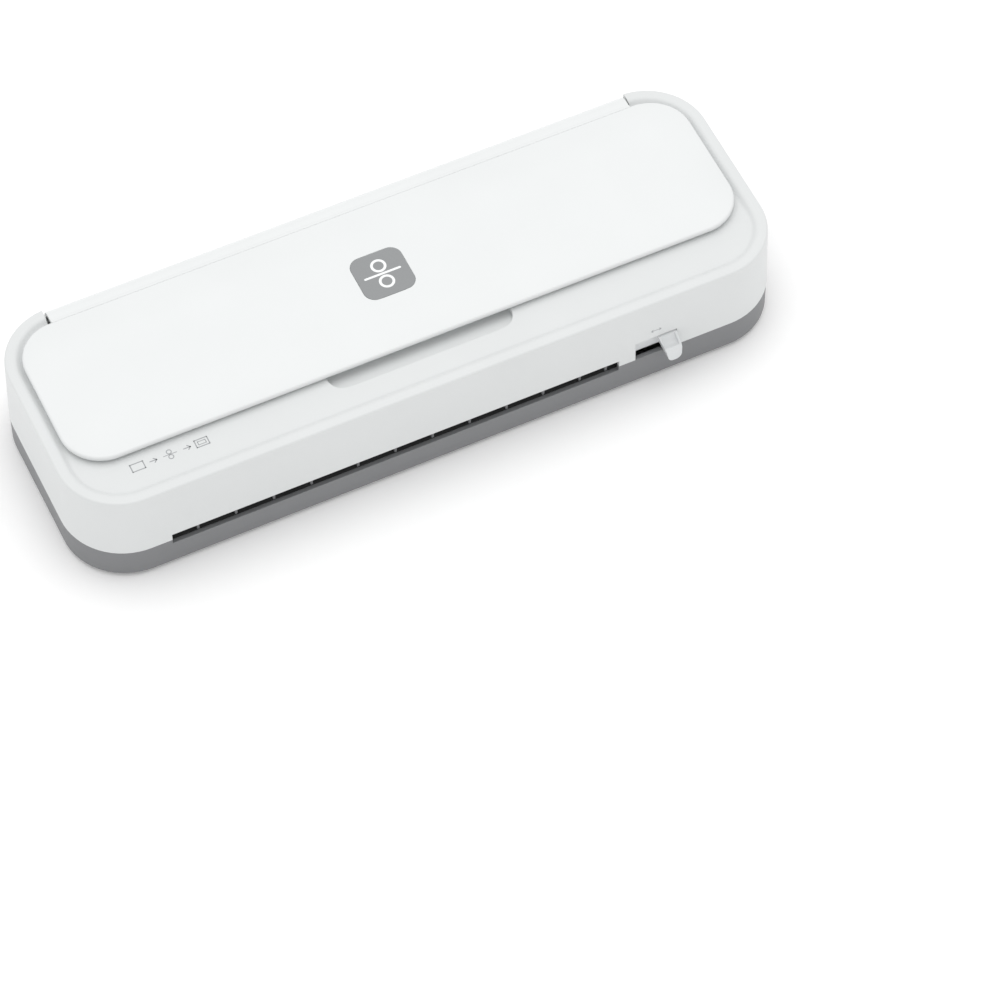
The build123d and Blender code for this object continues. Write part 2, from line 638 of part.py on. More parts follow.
with BuildPart() as switch_board:
    block(126, 166, BUTTON_Y - 11, BUTTON_Y + 11, SWITCH_Z, SWITCH_Z + PCB_T)
    block(BUTTON_X - 3, BUTTON_X + 3, BUTTON_Y - 3, BUTTON_Y + 3, SWITCH_Z + PCB_T, SWITCH_Z + PCB_T + 1.6)
    for x in LENS_XS:
        post(x, BUTTON_Y, SWITCH_Z + PCB_T, SWITCH_Z + PCB_T + 4, 1.5)
save(switch_board, "switch_board")

with BuildPart() as power_button:
    post(BUTTON_X, BUTTON_Y, 50.6, BUTTON_TOP_Z, BUTTON_R)
    fillet(power_button.faces().sort_by(Axis.Z)[-1].edges(), 0.8)
    post(BUTTON_X, BUTTON_Y, 50.6, 52.8, BUTTON_R + 1.8)
    post(BUTTON_X, BUTTON_Y, SWITCH_Z + PCB_T + 1.6 + BUTTON_TRAVEL + 0.4, 51, 2.0)
save(power_button, "power_button")

with BuildPart() as button_spring:
    coil(BUTTON_X, BUTTON_Y, SWITCH_Z + PCB_T + 0.05, 50.55, 5.2, 0.35, 4)
save(button_spring, "button_spring")

for name, x in zip(("power_lens", "ready_lens"), LENS_XS):
    with BuildPart() as lens:
        post(x, BUTTON_Y, SWITCH_Z + PCB_T + 4.3, DECK_Z + 0.3, LENS_R - 0.05)
        fillet(lens.faces().sort_by(Axis.Z)[-1].edges(), 0.4)
        post(x, BUTTON_Y, 51.6, CEILING_Z - 0.05, LENS_R + 0.8)
    save(lens, name)

# ---------------------------------------------------------------- lid


def lid_outline(inset=0.0):
    """The lid's plan, moved inwards."""
    with Locations((0, (LID_Y0 + LID_Y1) / 2)):
        RectangleRounded(LID_W - 2 * inset, LID_Y1 - LID_Y0 - 2 * inset, max(LID_R - inset, 2.0))


with BuildPart() as lid_panel:
    with BuildSketch(Plane.XY.offset(LID_Z)):
        lid_outline()
    extrude(amount=LID_EDGE_Z - LID_Z)
    for low, high, inset0, inset1 in ((LID_EDGE_Z, 61.5, 0.9, 8.0), (61.5, LID_TOP_Z, 8.0, 20.0)):
        with BuildSketch(Plane.XY.offset(low)):
            lid_outline(inset0)
        with BuildSketch(Plane.XY.offset(high)):
            lid_outline(inset1)
        loft(ruled=True)
    with BuildSketch(Plane.XY.offset(LID_Z)):
        lid_outline(LID_SKIN)
    extrude(amount=LID_EDGE_Z - 0.6 - LID_Z, mode=Mode.SUBTRACT)
    with BuildSketch(Plane.YZ.offset(-STRIP_X)):
        with BuildLine():
            rear_y = HINGE_Y + KNUCKLE_R
            skin_y = rear_y - LID_SKIN
            bend_y = rear_y - STRIP_R
            bend_z = STRIP_TOP_Z - STRIP_R
            skin_z = STRIP_TOP_Z - LID_SKIN
            Polyline((48.6, LID_Z), (48.6, STRIP_TOP_Z), (bend_y, STRIP_TOP_Z))
            RadiusArc((bend_y, STRIP_TOP_Z), (rear_y, bend_z), STRIP_R)
            Line((rear_y, bend_z), (rear_y, HINGE_Z))
            RadiusArc((rear_y, HINGE_Z), (HINGE_Y - KNUCKLE_R, HINGE_Z), KNUCKLE_R)
            Polyline((HINGE_Y - KNUCKLE_R, HINGE_Z), (skin_y, HINGE_Z + 3), (skin_y, bend_z))
            RadiusArc((skin_y, bend_z), (bend_y, skin_z), LID_SKIN - STRIP_R)
            Polyline((bend_y, skin_z), (50.5, skin_z), (48.6, LID_Z))
        make_face()
    extrude(amount=2 * STRIP_X)
    for side in (-1, 1):
        rod(side * PIN_X0, side * (STRIP_X + 1), HINGE_Y, HINGE_Z, PIN_R, mode=Mode.SUBTRACT)
    with BuildSketch(Plane.XY.offset(LID_TOP_Z - BADGE_T)):
        with Locations((0, BADGE_Y)):
            RectangleRounded(BADGE_SIZE + 0.1, BADGE_SIZE + 0.1, BADGE_R)
    extrude(amount=5, mode=Mode.SUBTRACT)
save(lid_panel, "lid_panel")

with BuildPart() as lid_badge:
    with BuildSketch(Plane.XY.offset(LID_TOP_Z - BADGE_T)):
        with Locations((0, BADGE_Y)):
            RectangleRounded(BADGE_SIZE, BADGE_SIZE, BADGE_R)
    extrude(amount=BADGE_T)
save(lid_badge, "lid_badge")

with BuildPart() as lid_liner:
    with BuildSketch(Plane.XY.offset(LID_Z + 0.2)):
        lid_outline(LID_SKIN + 0.1)
    extrude(amount=1.2)
    with BuildSketch(Plane.XY.offset(LID_Z + 1.4)):
        with Locations((0, (LID_Y0 + LID_Y1) / 2)):
            with GridLocations(24, 1, 13, 1):
                Rectangle(1.2, 74)
    extrude(amount=1.1)
save(lid_liner, "lid_liner")

for name, side in (("left", -1), ("right", 1)):
    with BuildPart() as hinge_pin:
        rod(side * PIN_X0, side * PIN_X1, HINGE_Y, HINGE_Z, PIN_R)
    save(hinge_pin, f"hinge_pin_{name}")
    with BuildPart() as lid_bumper:
        post(side * 120, -28, LID_Z - 0.7, LID_Z + 0.2, 3.0)
    save(lid_bumper, f"lid_bumper_{name}")
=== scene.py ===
"""Desktop pouch laminator: moulded casings, lid, lever, exit slot, underside, drive parts and stage.

Everything is in metres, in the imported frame: X runs along the machine, the film leaves at -Y and
the lid's hinge is at +Y. The shells are modelled here; the drive parts are finished from the frame.
"""

import json
import math

import bmesh
import bpy
from mathutils import Matrix, Vector


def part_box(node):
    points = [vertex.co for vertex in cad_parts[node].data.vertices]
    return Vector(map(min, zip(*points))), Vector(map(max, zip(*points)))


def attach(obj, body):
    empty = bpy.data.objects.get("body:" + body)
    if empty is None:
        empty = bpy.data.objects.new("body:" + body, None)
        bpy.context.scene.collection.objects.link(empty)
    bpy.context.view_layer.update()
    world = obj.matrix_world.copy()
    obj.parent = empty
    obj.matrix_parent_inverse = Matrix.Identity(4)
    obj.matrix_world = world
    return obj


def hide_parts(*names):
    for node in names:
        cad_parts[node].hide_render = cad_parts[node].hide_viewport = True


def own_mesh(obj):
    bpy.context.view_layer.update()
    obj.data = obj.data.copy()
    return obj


bl_info = {
    "name": "Pouch Laminator",
    "version": (1, 0, 0),
    "blender": (4, 5, 0),
    "location": "3D View > Sidebar > Laminator",
    "description": "Builds a desktop pouch laminator around its packed frame",
    "category": "Add Mesh",
}

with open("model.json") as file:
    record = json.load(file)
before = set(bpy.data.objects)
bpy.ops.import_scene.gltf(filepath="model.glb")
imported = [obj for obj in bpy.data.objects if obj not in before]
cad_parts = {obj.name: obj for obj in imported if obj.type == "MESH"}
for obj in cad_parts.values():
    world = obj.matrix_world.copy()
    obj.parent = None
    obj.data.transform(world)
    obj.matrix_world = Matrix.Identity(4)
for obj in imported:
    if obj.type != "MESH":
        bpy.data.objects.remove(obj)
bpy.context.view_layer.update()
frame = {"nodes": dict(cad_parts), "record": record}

MM = 0.001
CASE_HALF_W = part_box("base_shell")[1].x + 0.2 * MM
CASE_HALF_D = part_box("base_shell")[1].y + 0.2 * MM
SEAM_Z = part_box("base_shell")[1].z
RIM_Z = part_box("upper_shell_front")[1].z
BASE_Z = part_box("base_shell")[0].z
LID_LOW, LID_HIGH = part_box("lid_panel")
LEVER_LOW, LEVER_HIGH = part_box("release_lever")
BADGE_LOW, BADGE_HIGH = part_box("lid_badge")


# ------------------------------------------------------------------ settings


class CasingSettings(bpy.types.PropertyGroup):
    """Sizes of the two moulded casings."""

    wall: bpy.props.FloatProperty(
        name="Wall", description="Thickness of the moulded walls", default=0.0024, unit="LENGTH")
    corner: bpy.props.FloatProperty(
        name="Corner radius", description="Plan radius of the four corners", default=0.0325, unit="LENGTH")
    draft: bpy.props.FloatProperty(
        name="Draft", description="Lean of the upper walls, so that they leave the mould",
        default=math.radians(2), subtype="ANGLE")
    rim_round: bpy.props.FloatProperty(
        name="Rim radius", description="Round between the wall and the rim", default=0.0012, unit="LENGTH")
    dish_inset: bpy.props.FloatProperty(
        name="Rim width", description="From the wall to where the deck's dish begins", default=0.0064, unit="LENGTH")
    dish_run: bpy.props.FloatProperty(
        name="Dish slope", description="Plan length of the slope from the rim to the deck", default=0.0027,
        unit="LENGTH")
    dish_depth: bpy.props.FloatProperty(
        name="Dish depth", description="How far the deck lies below the rim", default=0.002, unit="LENGTH")
    edge: bpy.props.FloatProperty(
        name="Moulded edge", description="Small round on every cut edge", default=0.0003, unit="LENGTH")
    rib_pitch: bpy.props.FloatProperty(
        name="Rib pitch", description="Distance between the exit slot's ribs", default=0.01947, unit="LENGTH")
    rib_width: bpy.props.FloatProperty(
        name="Rib width", description="Thickness of one exit rib", default=0.0013, unit="LENGTH")


class LidSettings(bpy.types.PropertyGroup):
    """Sizes of the lid and its badge."""

    corner: bpy.props.FloatProperty(
        name="Corner radius", description="Plan radius of the lid's corners", default=0.021, unit="LENGTH")
    lip: bpy.props.FloatProperty(
        name="Lip radius", description="Round along the lid's upper edge", default=0.0014, unit="LENGTH")
    crown: bpy.props.FloatProperty(
        name="Crown", description="How far the lid swells above its edge", default=0.002, unit="LENGTH")
    swell: bpy.props.FloatProperty(
        name="Swell width", description="From the edge to where the lid is flat", default=0.021, unit="LENGTH")
    tuck: bpy.props.FloatProperty(
        name="Tuck radius", description="Round along the lid's lower edge", default=0.0018, unit="LENGTH")
    skin: bpy.props.FloatProperty(
        name="Skin", description="Thickness of the lid's wall", default=0.0022, unit="LENGTH")


class FinishSettings(bpy.types.PropertyGroup):
    """Colours of the finishes, as sRGB hex values."""

    shell: bpy.props.StringProperty(name="Shell", description="Upper casing", default="#DBDDDD")
    lid: bpy.props.StringProperty(name="Lid", description="Lid panel", default="#E4E6E6")
    base: bpy.props.StringProperty(name="Base", description="Lower casing", default="#7C7D7F")
    lever: bpy.props.StringProperty(name="Lever", description="Release lever", default="#DCDEDF")
    badge: bpy.props.StringProperty(name="Badge", description="Badge foil", default="#8F9192")
    print_ink: bpy.props.StringProperty(name="Print", description="Printed marks", default="#A4A6A8")
    silicone: bpy.props.StringProperty(name="Silicone", description="Roller sleeves", default="#B0532F")
    floor: bpy.props.StringProperty(name="Floor", description="Backdrop", default="#FFFFFF")


class StageSettings(bpy.types.PropertyGroup):
    """Viewing angle and light."""

    azimuth: bpy.props.FloatProperty(
        name="Azimuth", description="Camera round the machine, from its front", default=math.radians(-25.385),
        subtype="ANGLE")
    elevation: bpy.props.FloatProperty(
        name="Elevation", description="Camera above the horizon", default=math.radians(55.613), subtype="ANGLE")
    roll: bpy.props.FloatProperty(
        name="Roll", description="Camera about its own axis", default=math.radians(-0.092), subtype="ANGLE")
    distance: bpy.props.FloatProperty(
        name="Distance", description="Camera from the machine", default=2.238742, unit="LENGTH")
    lens: bpy.props.FloatProperty(name="Lens", description="Focal length in millimetres", default=165.86)
    softbox: bpy.props.FloatProperty(
        name="Softbox", description="Power of the overhead softbox", default=10.0, unit="POWER")
    fill: bpy.props.FloatProperty(name="Fill", description="Strength of the room's even light", default=0.88)


# ------------------------------------------------------------------ shape tools


def mm(*values):
    """Millimetres to metres, for a group of numbers."""
    return tuple(v * MM for v in values)


def rounded_loop(half_w, half_d, radius, steps=12, centre=(0.0, 0.0)):
    """Points of a rounded rectangle, anticlockwise."""
    points = []
    for quarter, (sx, sy) in enumerate(((1, 1), (-1, 1), (-1, -1), (1, -1))):
        for k in range(steps + 1):
            a = math.radians(90) * (quarter + k / steps)
            x = centre[0] + sx * (half_w - radius) + radius * math.cos(a)
            y = centre[1] + sy * (half_d - radius) + radius * math.sin(a)
            points.append((x, y))
    return points


def circle(centre, radius, steps=40):
    """Points of a circle, anticlockwise."""
    turn = math.tau / steps
    return [(centre[0] + radius * math.cos(turn * k), centre[1] + radius * math.sin(turn * k))
            for k in range(steps)]


def softened(points, radii, steps=6, closed=False):
    """A polyline with its corners rounded, each by its own radius."""
    rounded = []
    count = len(points)
    for k, (point, radius) in enumerate(zip(points, radii)):
        if radius <= 0 or (not closed and k in (0, count - 1)):
            rounded.append(point)
            continue
        corner = Vector(point)
        before = (Vector(points[k - 1]) - corner).normalized()
        after = (Vector(points[(k + 1) % count]) - corner).normalized()
        half = before.angle(after) / 2
        centre = corner + (before + after).normalized() * radius / math.sin(half)
        start = corner + before * radius / math.tan(half) - centre
        end = corner + after * radius / math.tan(half) - centre
        sweep = (math.atan2(end.y, end.x) - math.atan2(start.y, start.x) + math.pi) % math.tau - math.pi
        for j in range(steps + 1):
            a = math.atan2(start.y, start.x) + sweep * j / steps
            rounded.append((centre.x + radius * math.cos(a), centre.y + radius * math.sin(a)))
    return rounded


def new_piece(name, bm):
    """An object of a bmesh, with its faces outwards and its place in its mesh."""
    if bm.calc_volume(signed=True) < 0:
        bmesh.ops.reverse_faces(bm, faces=bm.faces)
    mesh = bpy.data.meshes.new(name)
    bm.to_mesh(mesh)
    bm.free()
    piece = bpy.data.objects.new(name, mesh)
    bpy.context.scene.collection.objects.link(piece)
    return piece


def loft(name, rings):
    """A closed skin through rings of equal count, capped at both ends."""
    bm = bmesh.new()
    loops = [[bm.verts.new(p) for p in ring] for ring in rings]
    count = len(loops[0])
    for low, high in zip(loops, loops[1:]):
        for k in range(count):
            after = (k + 1) % count
            bm.faces.new((low[k], low[after], high[after], high[k]))
    bm.faces.new(list(reversed(loops[0])))
    bm.faces.new(loops[-1])
    return new_piece(name, bm)


def extruded(name, outline, axis, start, end):
    """An outline in the plane across an axis, run along the axis from start to end."""
    place = {"X": lambda a, b, t: (t, a, b), "Y": lambda a, b, t: (a, t, b), "Z": lambda a, b, t: (a, b, t)}[axis]
    return loft(name, [[place(a, b, t) for a, b in outline] for t in (start, end)])


def block(name, low, high):
    """A box between two corners; its edges are rounded later, with the piece that it joins."""
    outline = [(low[0], low[1]), (high[0], low[1]), (high[0], high[1]), (low[0], high[1])]
    return extruded(name, outline, "Z", low[2], high[2])


def bake(piece):
    """Turns a piece's modifiers into plain mesh and removes them."""
    bpy.context.view_layer.update()
    graph = bpy.context.evaluated_depsgraph_get()
    mesh = bpy.data.meshes.new_from_object(
        piece.evaluated_get(graph), preserve_all_data_layers=True, depsgraph=graph)
    piece.modifiers.clear()
    piece.data = mesh
    mesh.name = piece.name
    return piece


def joined(name, pieces):
    """One piece of several meshes."""
    bm = bmesh.new()
    for piece in pieces:
        bm.from_mesh(piece.data)
        bpy.data.objects.remove(piece)
    return new_piece(name, bm)


def combined(piece, operation, others):
    """Adds other shapes to a piece, cuts them out of it, or keeps only what it shares with them."""
    tool = joined("tool", others)
    modifier = piece.modifiers.new("Shape", "BOOLEAN")
    modifier.operation = operation
    modifier.solver = "EXACT"
    modifier.use_self = True
    modifier.object = tool
    bake(piece)
    bpy.data.objects.remove(tool)
    return piece


def duplicate(piece, name):
    """A second object with its own mesh."""
    other = bpy.data.objects.new(name, piece.data.copy())
    bpy.context.scene.collection.objects.link(other)
    return other


def finish_edges(piece, width, segments=2, angle=38, clamp=False, cut=None):
    """Rounds the sharp edges as a mould does, and lets flat faces shade flat beside them."""
    if cut:
        # These faces become triangles first: the bevel would close a slot that a many-sided face runs round.
        bm = bmesh.new()
        bm.from_mesh(piece.data)
        bmesh.ops.triangulate(bm, faces=[face for face in bm.faces if cut(face)])
        bm.to_mesh(piece.data)
        bm.free()
    if width > 0:
        edge = piece.modifiers.new("Edge", "BEVEL")
        edge.width = width
        edge.segments = segments
        edge.limit_method = "ANGLE"
        edge.angle_limit = math.radians(angle)
        edge.use_clamp_overlap = clamp
        bake(piece)
    piece.data.shade_smooth()
    piece.data.set_sharp_from_angle(angle=math.radians(angle))
    normals = piece.modifiers.new("Normals", "WEIGHTED_NORMAL")
    normals.keep_sharp = True
    normals.weight = 90
    return bake(piece)


def copies_tree(name, inputs, placed):
    """Geometry nodes with named inputs, made once: the copies that placed() sets are made real and painted."""
    if name in bpy.data.node_groups:
        return bpy.data.node_groups[name]
    tree = bpy.data.node_groups.new(name, "GeometryNodeTree")
    for socket, kind in inputs.items():
        tree.interface.new_socket(socket, in_out="INPUT", socket_type="NodeSocket" + kind)
    tree.interface.new_socket("Geometry", in_out="OUTPUT", socket_type="NodeSocketGeometry")
    given = add_node(tree, "NodeGroupInput").outputs
    solid = add_node(tree, "GeometryNodeRealizeInstances", links={"Geometry": placed(tree, given)})
    painted = add_node(tree, "GeometryNodeSetMaterial",
                       links={"Geometry": solid.outputs["Geometry"], "Material": given["Material"]})
    add_node(tree, "NodeGroupOutput", links={"Geometry": painted.outputs["Geometry"]})
    return tree


def in_rows(tree, given):
    """Sets the shape on a grid of rows and columns."""
    column = add_node(tree, "GeometryNodeMeshLine", links={"Count": given["Rows"], "Offset": given["Row Step"]})
    row = add_node(tree, "GeometryNodeMeshLine", links={"Count": given["Count"], "Offset": given["Step"]})
    grid = add_node(tree, "GeometryNodeInstanceOnPoints",
                    links={"Points": column.outputs["Mesh"], "Instance": row.outputs["Mesh"]})
    places = add_node(tree, "GeometryNodeRealizeInstances", links={"Geometry": grid.outputs["Instances"]})
    copies = add_node(tree, "GeometryNodeInstanceOnPoints",
                      links={"Points": places.outputs["Geometry"], "Instance": given["Shape"]})
    return copies.outputs["Instances"]


def on_places(tree, given):
    """Sets the shape on each marked place."""
    shape = add_node(tree, "GeometryNodeObjectInfo", links={"Object": given["Shape"]})
    copies = add_node(tree, "GeometryNodeInstanceOnPoints", links={
        "Points": given["Places"], "Instance": shape.outputs["Geometry"], "Scale": given["Scale"]})
    return copies.outputs["Instances"]


def run_tree(piece, tree, **values):
    """Runs a geometry node tree on a piece with its named inputs, and makes the result plain mesh."""
    modifier = piece.modifiers.new(tree.name, "NODES")
    modifier.node_group = tree
    for item in tree.interface.items_tree:
        key = item.name.lower().replace(" ", "_")
        if item.in_out == "INPUT" and key in values:
            modifier[item.identifier] = values[key]
    return bake(piece)


def repeated(piece, count, step, rows=1, row_step=(0.0, 0.0, 0.0), material=None):
    """The piece's shape, repeated in rows and columns from where it stands."""
    inputs = {"Shape": "Geometry", "Count": "Int", "Step": "Vector", "Rows": "Int", "Row Step": "Vector",
              "Material": "Material"}
    tree = copies_tree("Repeat in rows", inputs, in_rows)
    return run_tree(piece, tree, count=count, step=step, rows=rows, row_step=row_step, material=material)


def set_on(name, shape, places, material=None):
    """Copies of a shape, made about the origin, on each place."""
    marks = bpy.data.meshes.new(name)
    marks.from_pydata([tuple(p) for p in places], [], [])
    piece = bpy.data.objects.new(name, marks)
    bpy.context.scene.collection.objects.link(piece)
    inputs = {"Places": "Geometry", "Shape": "Object", "Scale": "Float", "Material": "Material"}
    run_tree(piece, copies_tree("Set on places", inputs, on_places), shape=shape, scale=1.0, material=material)
    bpy.data.objects.remove(shape)
    return piece


def fit(piece, body, slot, material=None, replaces=()):
    """Gives a finished piece its body and its material, which is the slot's unless one is given."""
    piece.data.materials.clear()
    piece.data.materials.append(material or material_of(slot))
    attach(piece, body)
    if replaces:
        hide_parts(*replaces)
    return piece


# ------------------------------------------------------------------ material tools


def linear(hex_code, scale=1.0):
    """An sRGB hex value as the linear colour that a shader takes."""
    channels = [int(hex_code[k:k + 2], 16) / 255 for k in (1, 3, 5)]
    return (*[scale * (c / 12.92 if c <= 0.04045 else ((c + 0.055) / 1.055) ** 2.4) for c in channels], 1.0)


def add_node(tree, kind, values=None, links=None, **settings):
    """Adds one node: settings are its own properties, values its sockets, links the sockets that others feed."""
    node = tree.nodes.new(kind)
    for name, value in settings.items():
        setattr(node, name, value)
    for socket, value in (values or {}).items():
        node.inputs[socket].default_value = value
    for socket, source in (links or {}).items():
        tree.links.new(source, node.inputs[socket])
    return node


def new_material(name, **constants):
    """A material with its shader's constant sockets set; returns it with its tree, shader and object coordinates."""
    material = bpy.data.materials.new(name)
    material.use_nodes = True
    tree = material.node_tree
    shader = tree.nodes["Principled BSDF"]
    for socket, value in constants.items():
        shader.inputs[socket.replace("_", " ")].default_value = value
    where = add_node(tree, "ShaderNodeTexCoord").outputs["Object"]
    return material, tree, shader, where


def vary(tree, shader, pattern, low, high, rough_low, rough_high):
    """Lets a pattern move the colour and the roughness between two values."""
    colour = add_node(tree, "ShaderNodeMix", {6: low, 7: high}, {0: pattern}, data_type="RGBA")
    tree.links.new(colour.outputs[2], shader.inputs["Base Color"])
    rough = add_node(tree, "ShaderNodeMapRange", {"To Min": rough_low, "To Max": rough_high}, {"Value": pattern})
    tree.links.new(rough.outputs["Result"], shader.inputs["Roughness"])


def relief(tree, shader, height, strength, depth):
    """Lets a height pattern bump the surface."""
    bump = add_node(tree, "ShaderNodeBump", {"Strength": strength, "Distance": depth}, {"Height": height})
    tree.links.new(bump.outputs["Normal"], shader.inputs["Normal"])


def patterned(name, pattern, values, colours, rough, bump=None, stretch=None, settings=None, **constants):
    """A material whose one pattern moves its colour and roughness and, where a bump is given, its surface."""
    material, tree, shader, where = new_material(name, **constants)
    if stretch:
        where = add_node(tree, "ShaderNodeMapping", {"Scale": stretch}, {"Vector": where}).outputs[0]
    texture = add_node(tree, "ShaderNodeTex" + pattern, values, {"Vector": where}, **(settings or {}))
    vary(tree, shader, texture.outputs["Fac"], *colours, *rough)
    if bump:
        relief(tree, shader, texture.outputs["Fac"], *bump)
    return material


def moulded(name, hex_code, roughness, grain, strength, **constants):
    """Injection-moulded plastic: an even colour with faint flow clouds and a spark-eroded grain."""
    material, tree, shader, where = new_material(name, **constants)
    clouds = add_node(tree, "ShaderNodeTexNoise", {"Scale": 1 / (35 * MM), "Detail": 2.0}, {"Vector": where})
    vary(tree, shader, clouds.outputs["Fac"], linear(hex_code, 0.975), linear(hex_code, 1.015),
         roughness - 0.04, roughness + 0.04)
    pits = add_node(tree, "ShaderNodeTexNoise", {"Scale": 1 / grain, "Detail": 3.0, "Roughness": 0.6},
                    {"Vector": where})
    relief(tree, shader, pits.outputs["Fac"], strength, grain * 0.2)
    return material


def shell_white():
    """White ABS from a spark-eroded mould: matt-satin, so that highlights along the rim spread softly.

    The real grain is about 0.1 mm; it is drawn at 0.6 mm so that it shows at all.
    """
    return moulded("White ABS, spark-eroded", finish().shell, 0.44, 0.6 * MM, 0.10, IOR=1.53)


def lid_white():
    """White ABS from a finer mould: a little smoother than the casing, which makes the lid look crisper."""
    return moulded("White ABS, fine satin", finish().lid, 0.36, 0.9 * MM, 0.06, IOR=1.53)


def base_grey():
    """Grey ABS, spark-eroded: the same grain as the casing, but it shows more because the colour is darker."""
    return moulded("Grey ABS, spark-eroded", finish().base, 0.50, 0.6 * MM, 0.16, IOR=1.53)


def lever_white():
    """White acetal: harder and slicker than ABS, with the faint glow of a waxy plastic."""
    return moulded("White acetal, polished", finish().lever, 0.30, 0.8 * MM, 0.05, IOR=1.48,
                   Subsurface_Weight=0.05, Subsurface_Radius=(0.002, 0.002, 0.002))


def guide_black():
    """Black glass-filled polyester: dull, with pale fibre streaks that run along the flow."""
    return patterned("Black polyester, glass-filled", "Noise", {"Scale": 1.0, "Detail": 4.0},
                     (linear("#0B0B0C"), linear("#1B1C1D")), (0.5, 0.7), (0.15, 0.1 * MM),
                     stretch=(60, 900, 900), IOR=1.57)


def plated_steel():
    """Zinc-plated pressed steel: blue-white and mottled, with fine rolling lines."""
    material, tree, shader, where = new_material("Zinc-plated steel, pressed", Metallic=1.0)
    spangle = add_node(tree, "ShaderNodeTexVoronoi", {"Scale": 1 / (4 * MM)}, {"Vector": where})
    vary(tree, shader, spangle.outputs["Distance"], linear("#B9BDC2"), linear("#CFD0CC"), 0.3, 0.46)
    along = add_node(tree, "ShaderNodeMapping", {"Scale": (100, 100, 3000)}, {"Vector": where})
    lines = add_node(tree, "ShaderNodeTexNoise", {"Scale": 1.0, "Detail": 3.0}, {"Vector": along.outputs[0]})
    relief(tree, shader, lines.outputs["Fac"], 0.12, 0.05 * MM)
    return material


def turned_steel():
    """Turned bright steel: fine tool rings round the shaft, which stretch the highlights along it."""
    return patterned("Bright steel, turned", "Wave", {"Scale": 1 / (1.2 * MM), "Distortion": 0.6, "Detail": 2.0},
                     (linear("#C4C6C8"), linear("#D6D7D8")), (0.2, 0.3), (0.1, 0.03 * MM),
                     settings={"bands_direction": "X"}, Metallic=1.0, Anisotropic=0.4)


def shoe_aluminium():
    """Extruded aluminium: pale and soft, with die lines along its length."""
    return patterned("Aluminium, extruded", "Noise", {"Scale": 1.0, "Detail": 4.0},
                     (linear("#BFC2C4"), linear("#DADCDD")), (0.32, 0.5), (0.2, 0.05 * MM),
                     stretch=(8, 1500, 1500), Metallic=1.0, Anisotropic=0.5)


def silicone():
    """Ground silicone sleeve: dry and matt, with a powdery sheen at grazing angles."""
    red = finish().silicone
    return patterned("Silicone, ground", "Noise", {"Scale": 1 / (0.7 * MM), "Detail": 5.0},
                     (linear(red, 0.85), linear(red, 1.1)), (0.6, 0.8), (0.25, 0.1 * MM),
                     IOR=1.41, Sheen_Weight=0.3, Sheen_Roughness=0.5)


def rubber():
    """Black nitrile rubber: matt, faintly blotched where mould release dried."""
    return patterned("Nitrile rubber, moulded", "Noise", {"Scale": 1 / (3 * MM), "Detail": 5.0},
                     (linear("#191A1B"), linear("#2B2C2D")), (0.65, 0.85), (0.2, 0.1 * MM), IOR=1.52)


def gear_acetal():
    """Natural acetal gear: cream-white and waxy, a little see-through at its edges."""
    return moulded("Natural acetal, moulded", "#E6E1D2", 0.38, 0.8 * MM, 0.06, IOR=1.48,
                   Subsurface_Weight=0.12, Subsurface_Radius=(0.003, 0.0027, 0.002))


def board_green():
    """Glass epoxy board under green solder mask: dark where bare, lighter over its copper tracks."""
    material, tree, shader, where = new_material("Glass epoxy board, solder mask", IOR=1.55, Coat_Weight=0.3)
    tracks = add_node(tree, "ShaderNodeTexBrick", {
        "Color1": linear("#1F6B3A"), "Color2": linear("#2A7A45"), "Mortar": linear("#123F24"),
        "Scale": 1 / (6 * MM), "Mortar Size": 0.06, "Brick Width": 1.4, "Row Height": 0.35}, {"Vector": where})
    tree.links.new(tracks.outputs["Color"], shader.inputs["Base Color"])
    rough = add_node(tree, "ShaderNodeMapRange", {"To Min": 0.28, "To Max": 0.42}, {"Value": tracks.outputs["Fac"]})
    tree.links.new(rough.outputs["Result"], shader.inputs["Roughness"])
    relief(tree, shader, tracks.outputs["Fac"], 0.3, 0.05 * MM)
    return material


def lens_acrylic():
    """Clear acrylic light pipe, frosted at its face: milky, with a glassy rim."""
    material, tree, shader, where = new_material(
        "Acrylic, frosted", IOR=1.49, Transmission_Weight=0.6, Base_Color=linear("#E9F3EE"))
    frost = add_node(tree, "ShaderNodeTexNoise", {"Scale": 1 / (0.5 * MM), "Detail": 4.0}, {"Vector": where})
    rough = add_node(tree, "ShaderNodeMapRange", {"To Min": 0.18, "To Max": 0.34}, {"Value": frost.outputs["Fac"]})
    tree.links.new(rough.outputs["Result"], shader.inputs["Roughness"])
    relief(tree, shader, frost.outputs["Fac"], 0.1, 0.05 * MM)
    return material


def printed(name, hex_code):
    """Pad-printed ink: flat and matt, thinner in places where the grain shows through."""
    return patterned(name, "Noise", {"Scale": 1 / (0.8 * MM), "Detail": 4.0},
                     (linear(hex_code, 0.96), linear(hex_code, 1.06)), (0.5, 0.62), IOR=1.5)


def backdrop():
    """White photographic paper: even and matt, without a visible horizon."""
    white = finish().floor
    return patterned("Backdrop paper", "Noise", {"Scale": 1 / (2 * MM), "Detail": 2.0},
                     (linear(white, 0.985), linear(white, 1.0)), (0.9, 1.0),
                     IOR=1.3, Specular_IOR_Level=0.0, Emission_Color=(1.0, 1.0, 1.0, 1.0), Emission_Strength=0.04)


MAKERS = {
    "white_shell": shell_white, "lid_white": lid_white, "grey_base": base_grey, "pale_grey": lever_white,
    "black_plastic": guide_black, "plated_steel": plated_steel, "turned_steel": turned_steel,
    "shoe_aluminium": shoe_aluminium, "silicone": silicone, "rubber": rubber, "gear_nylon": gear_acetal,
    "board": board_green, "clear_lens": lens_acrylic,
}
made = {}


def finish():
    """The colour settings."""
    return bpy.context.scene.laminator_finish


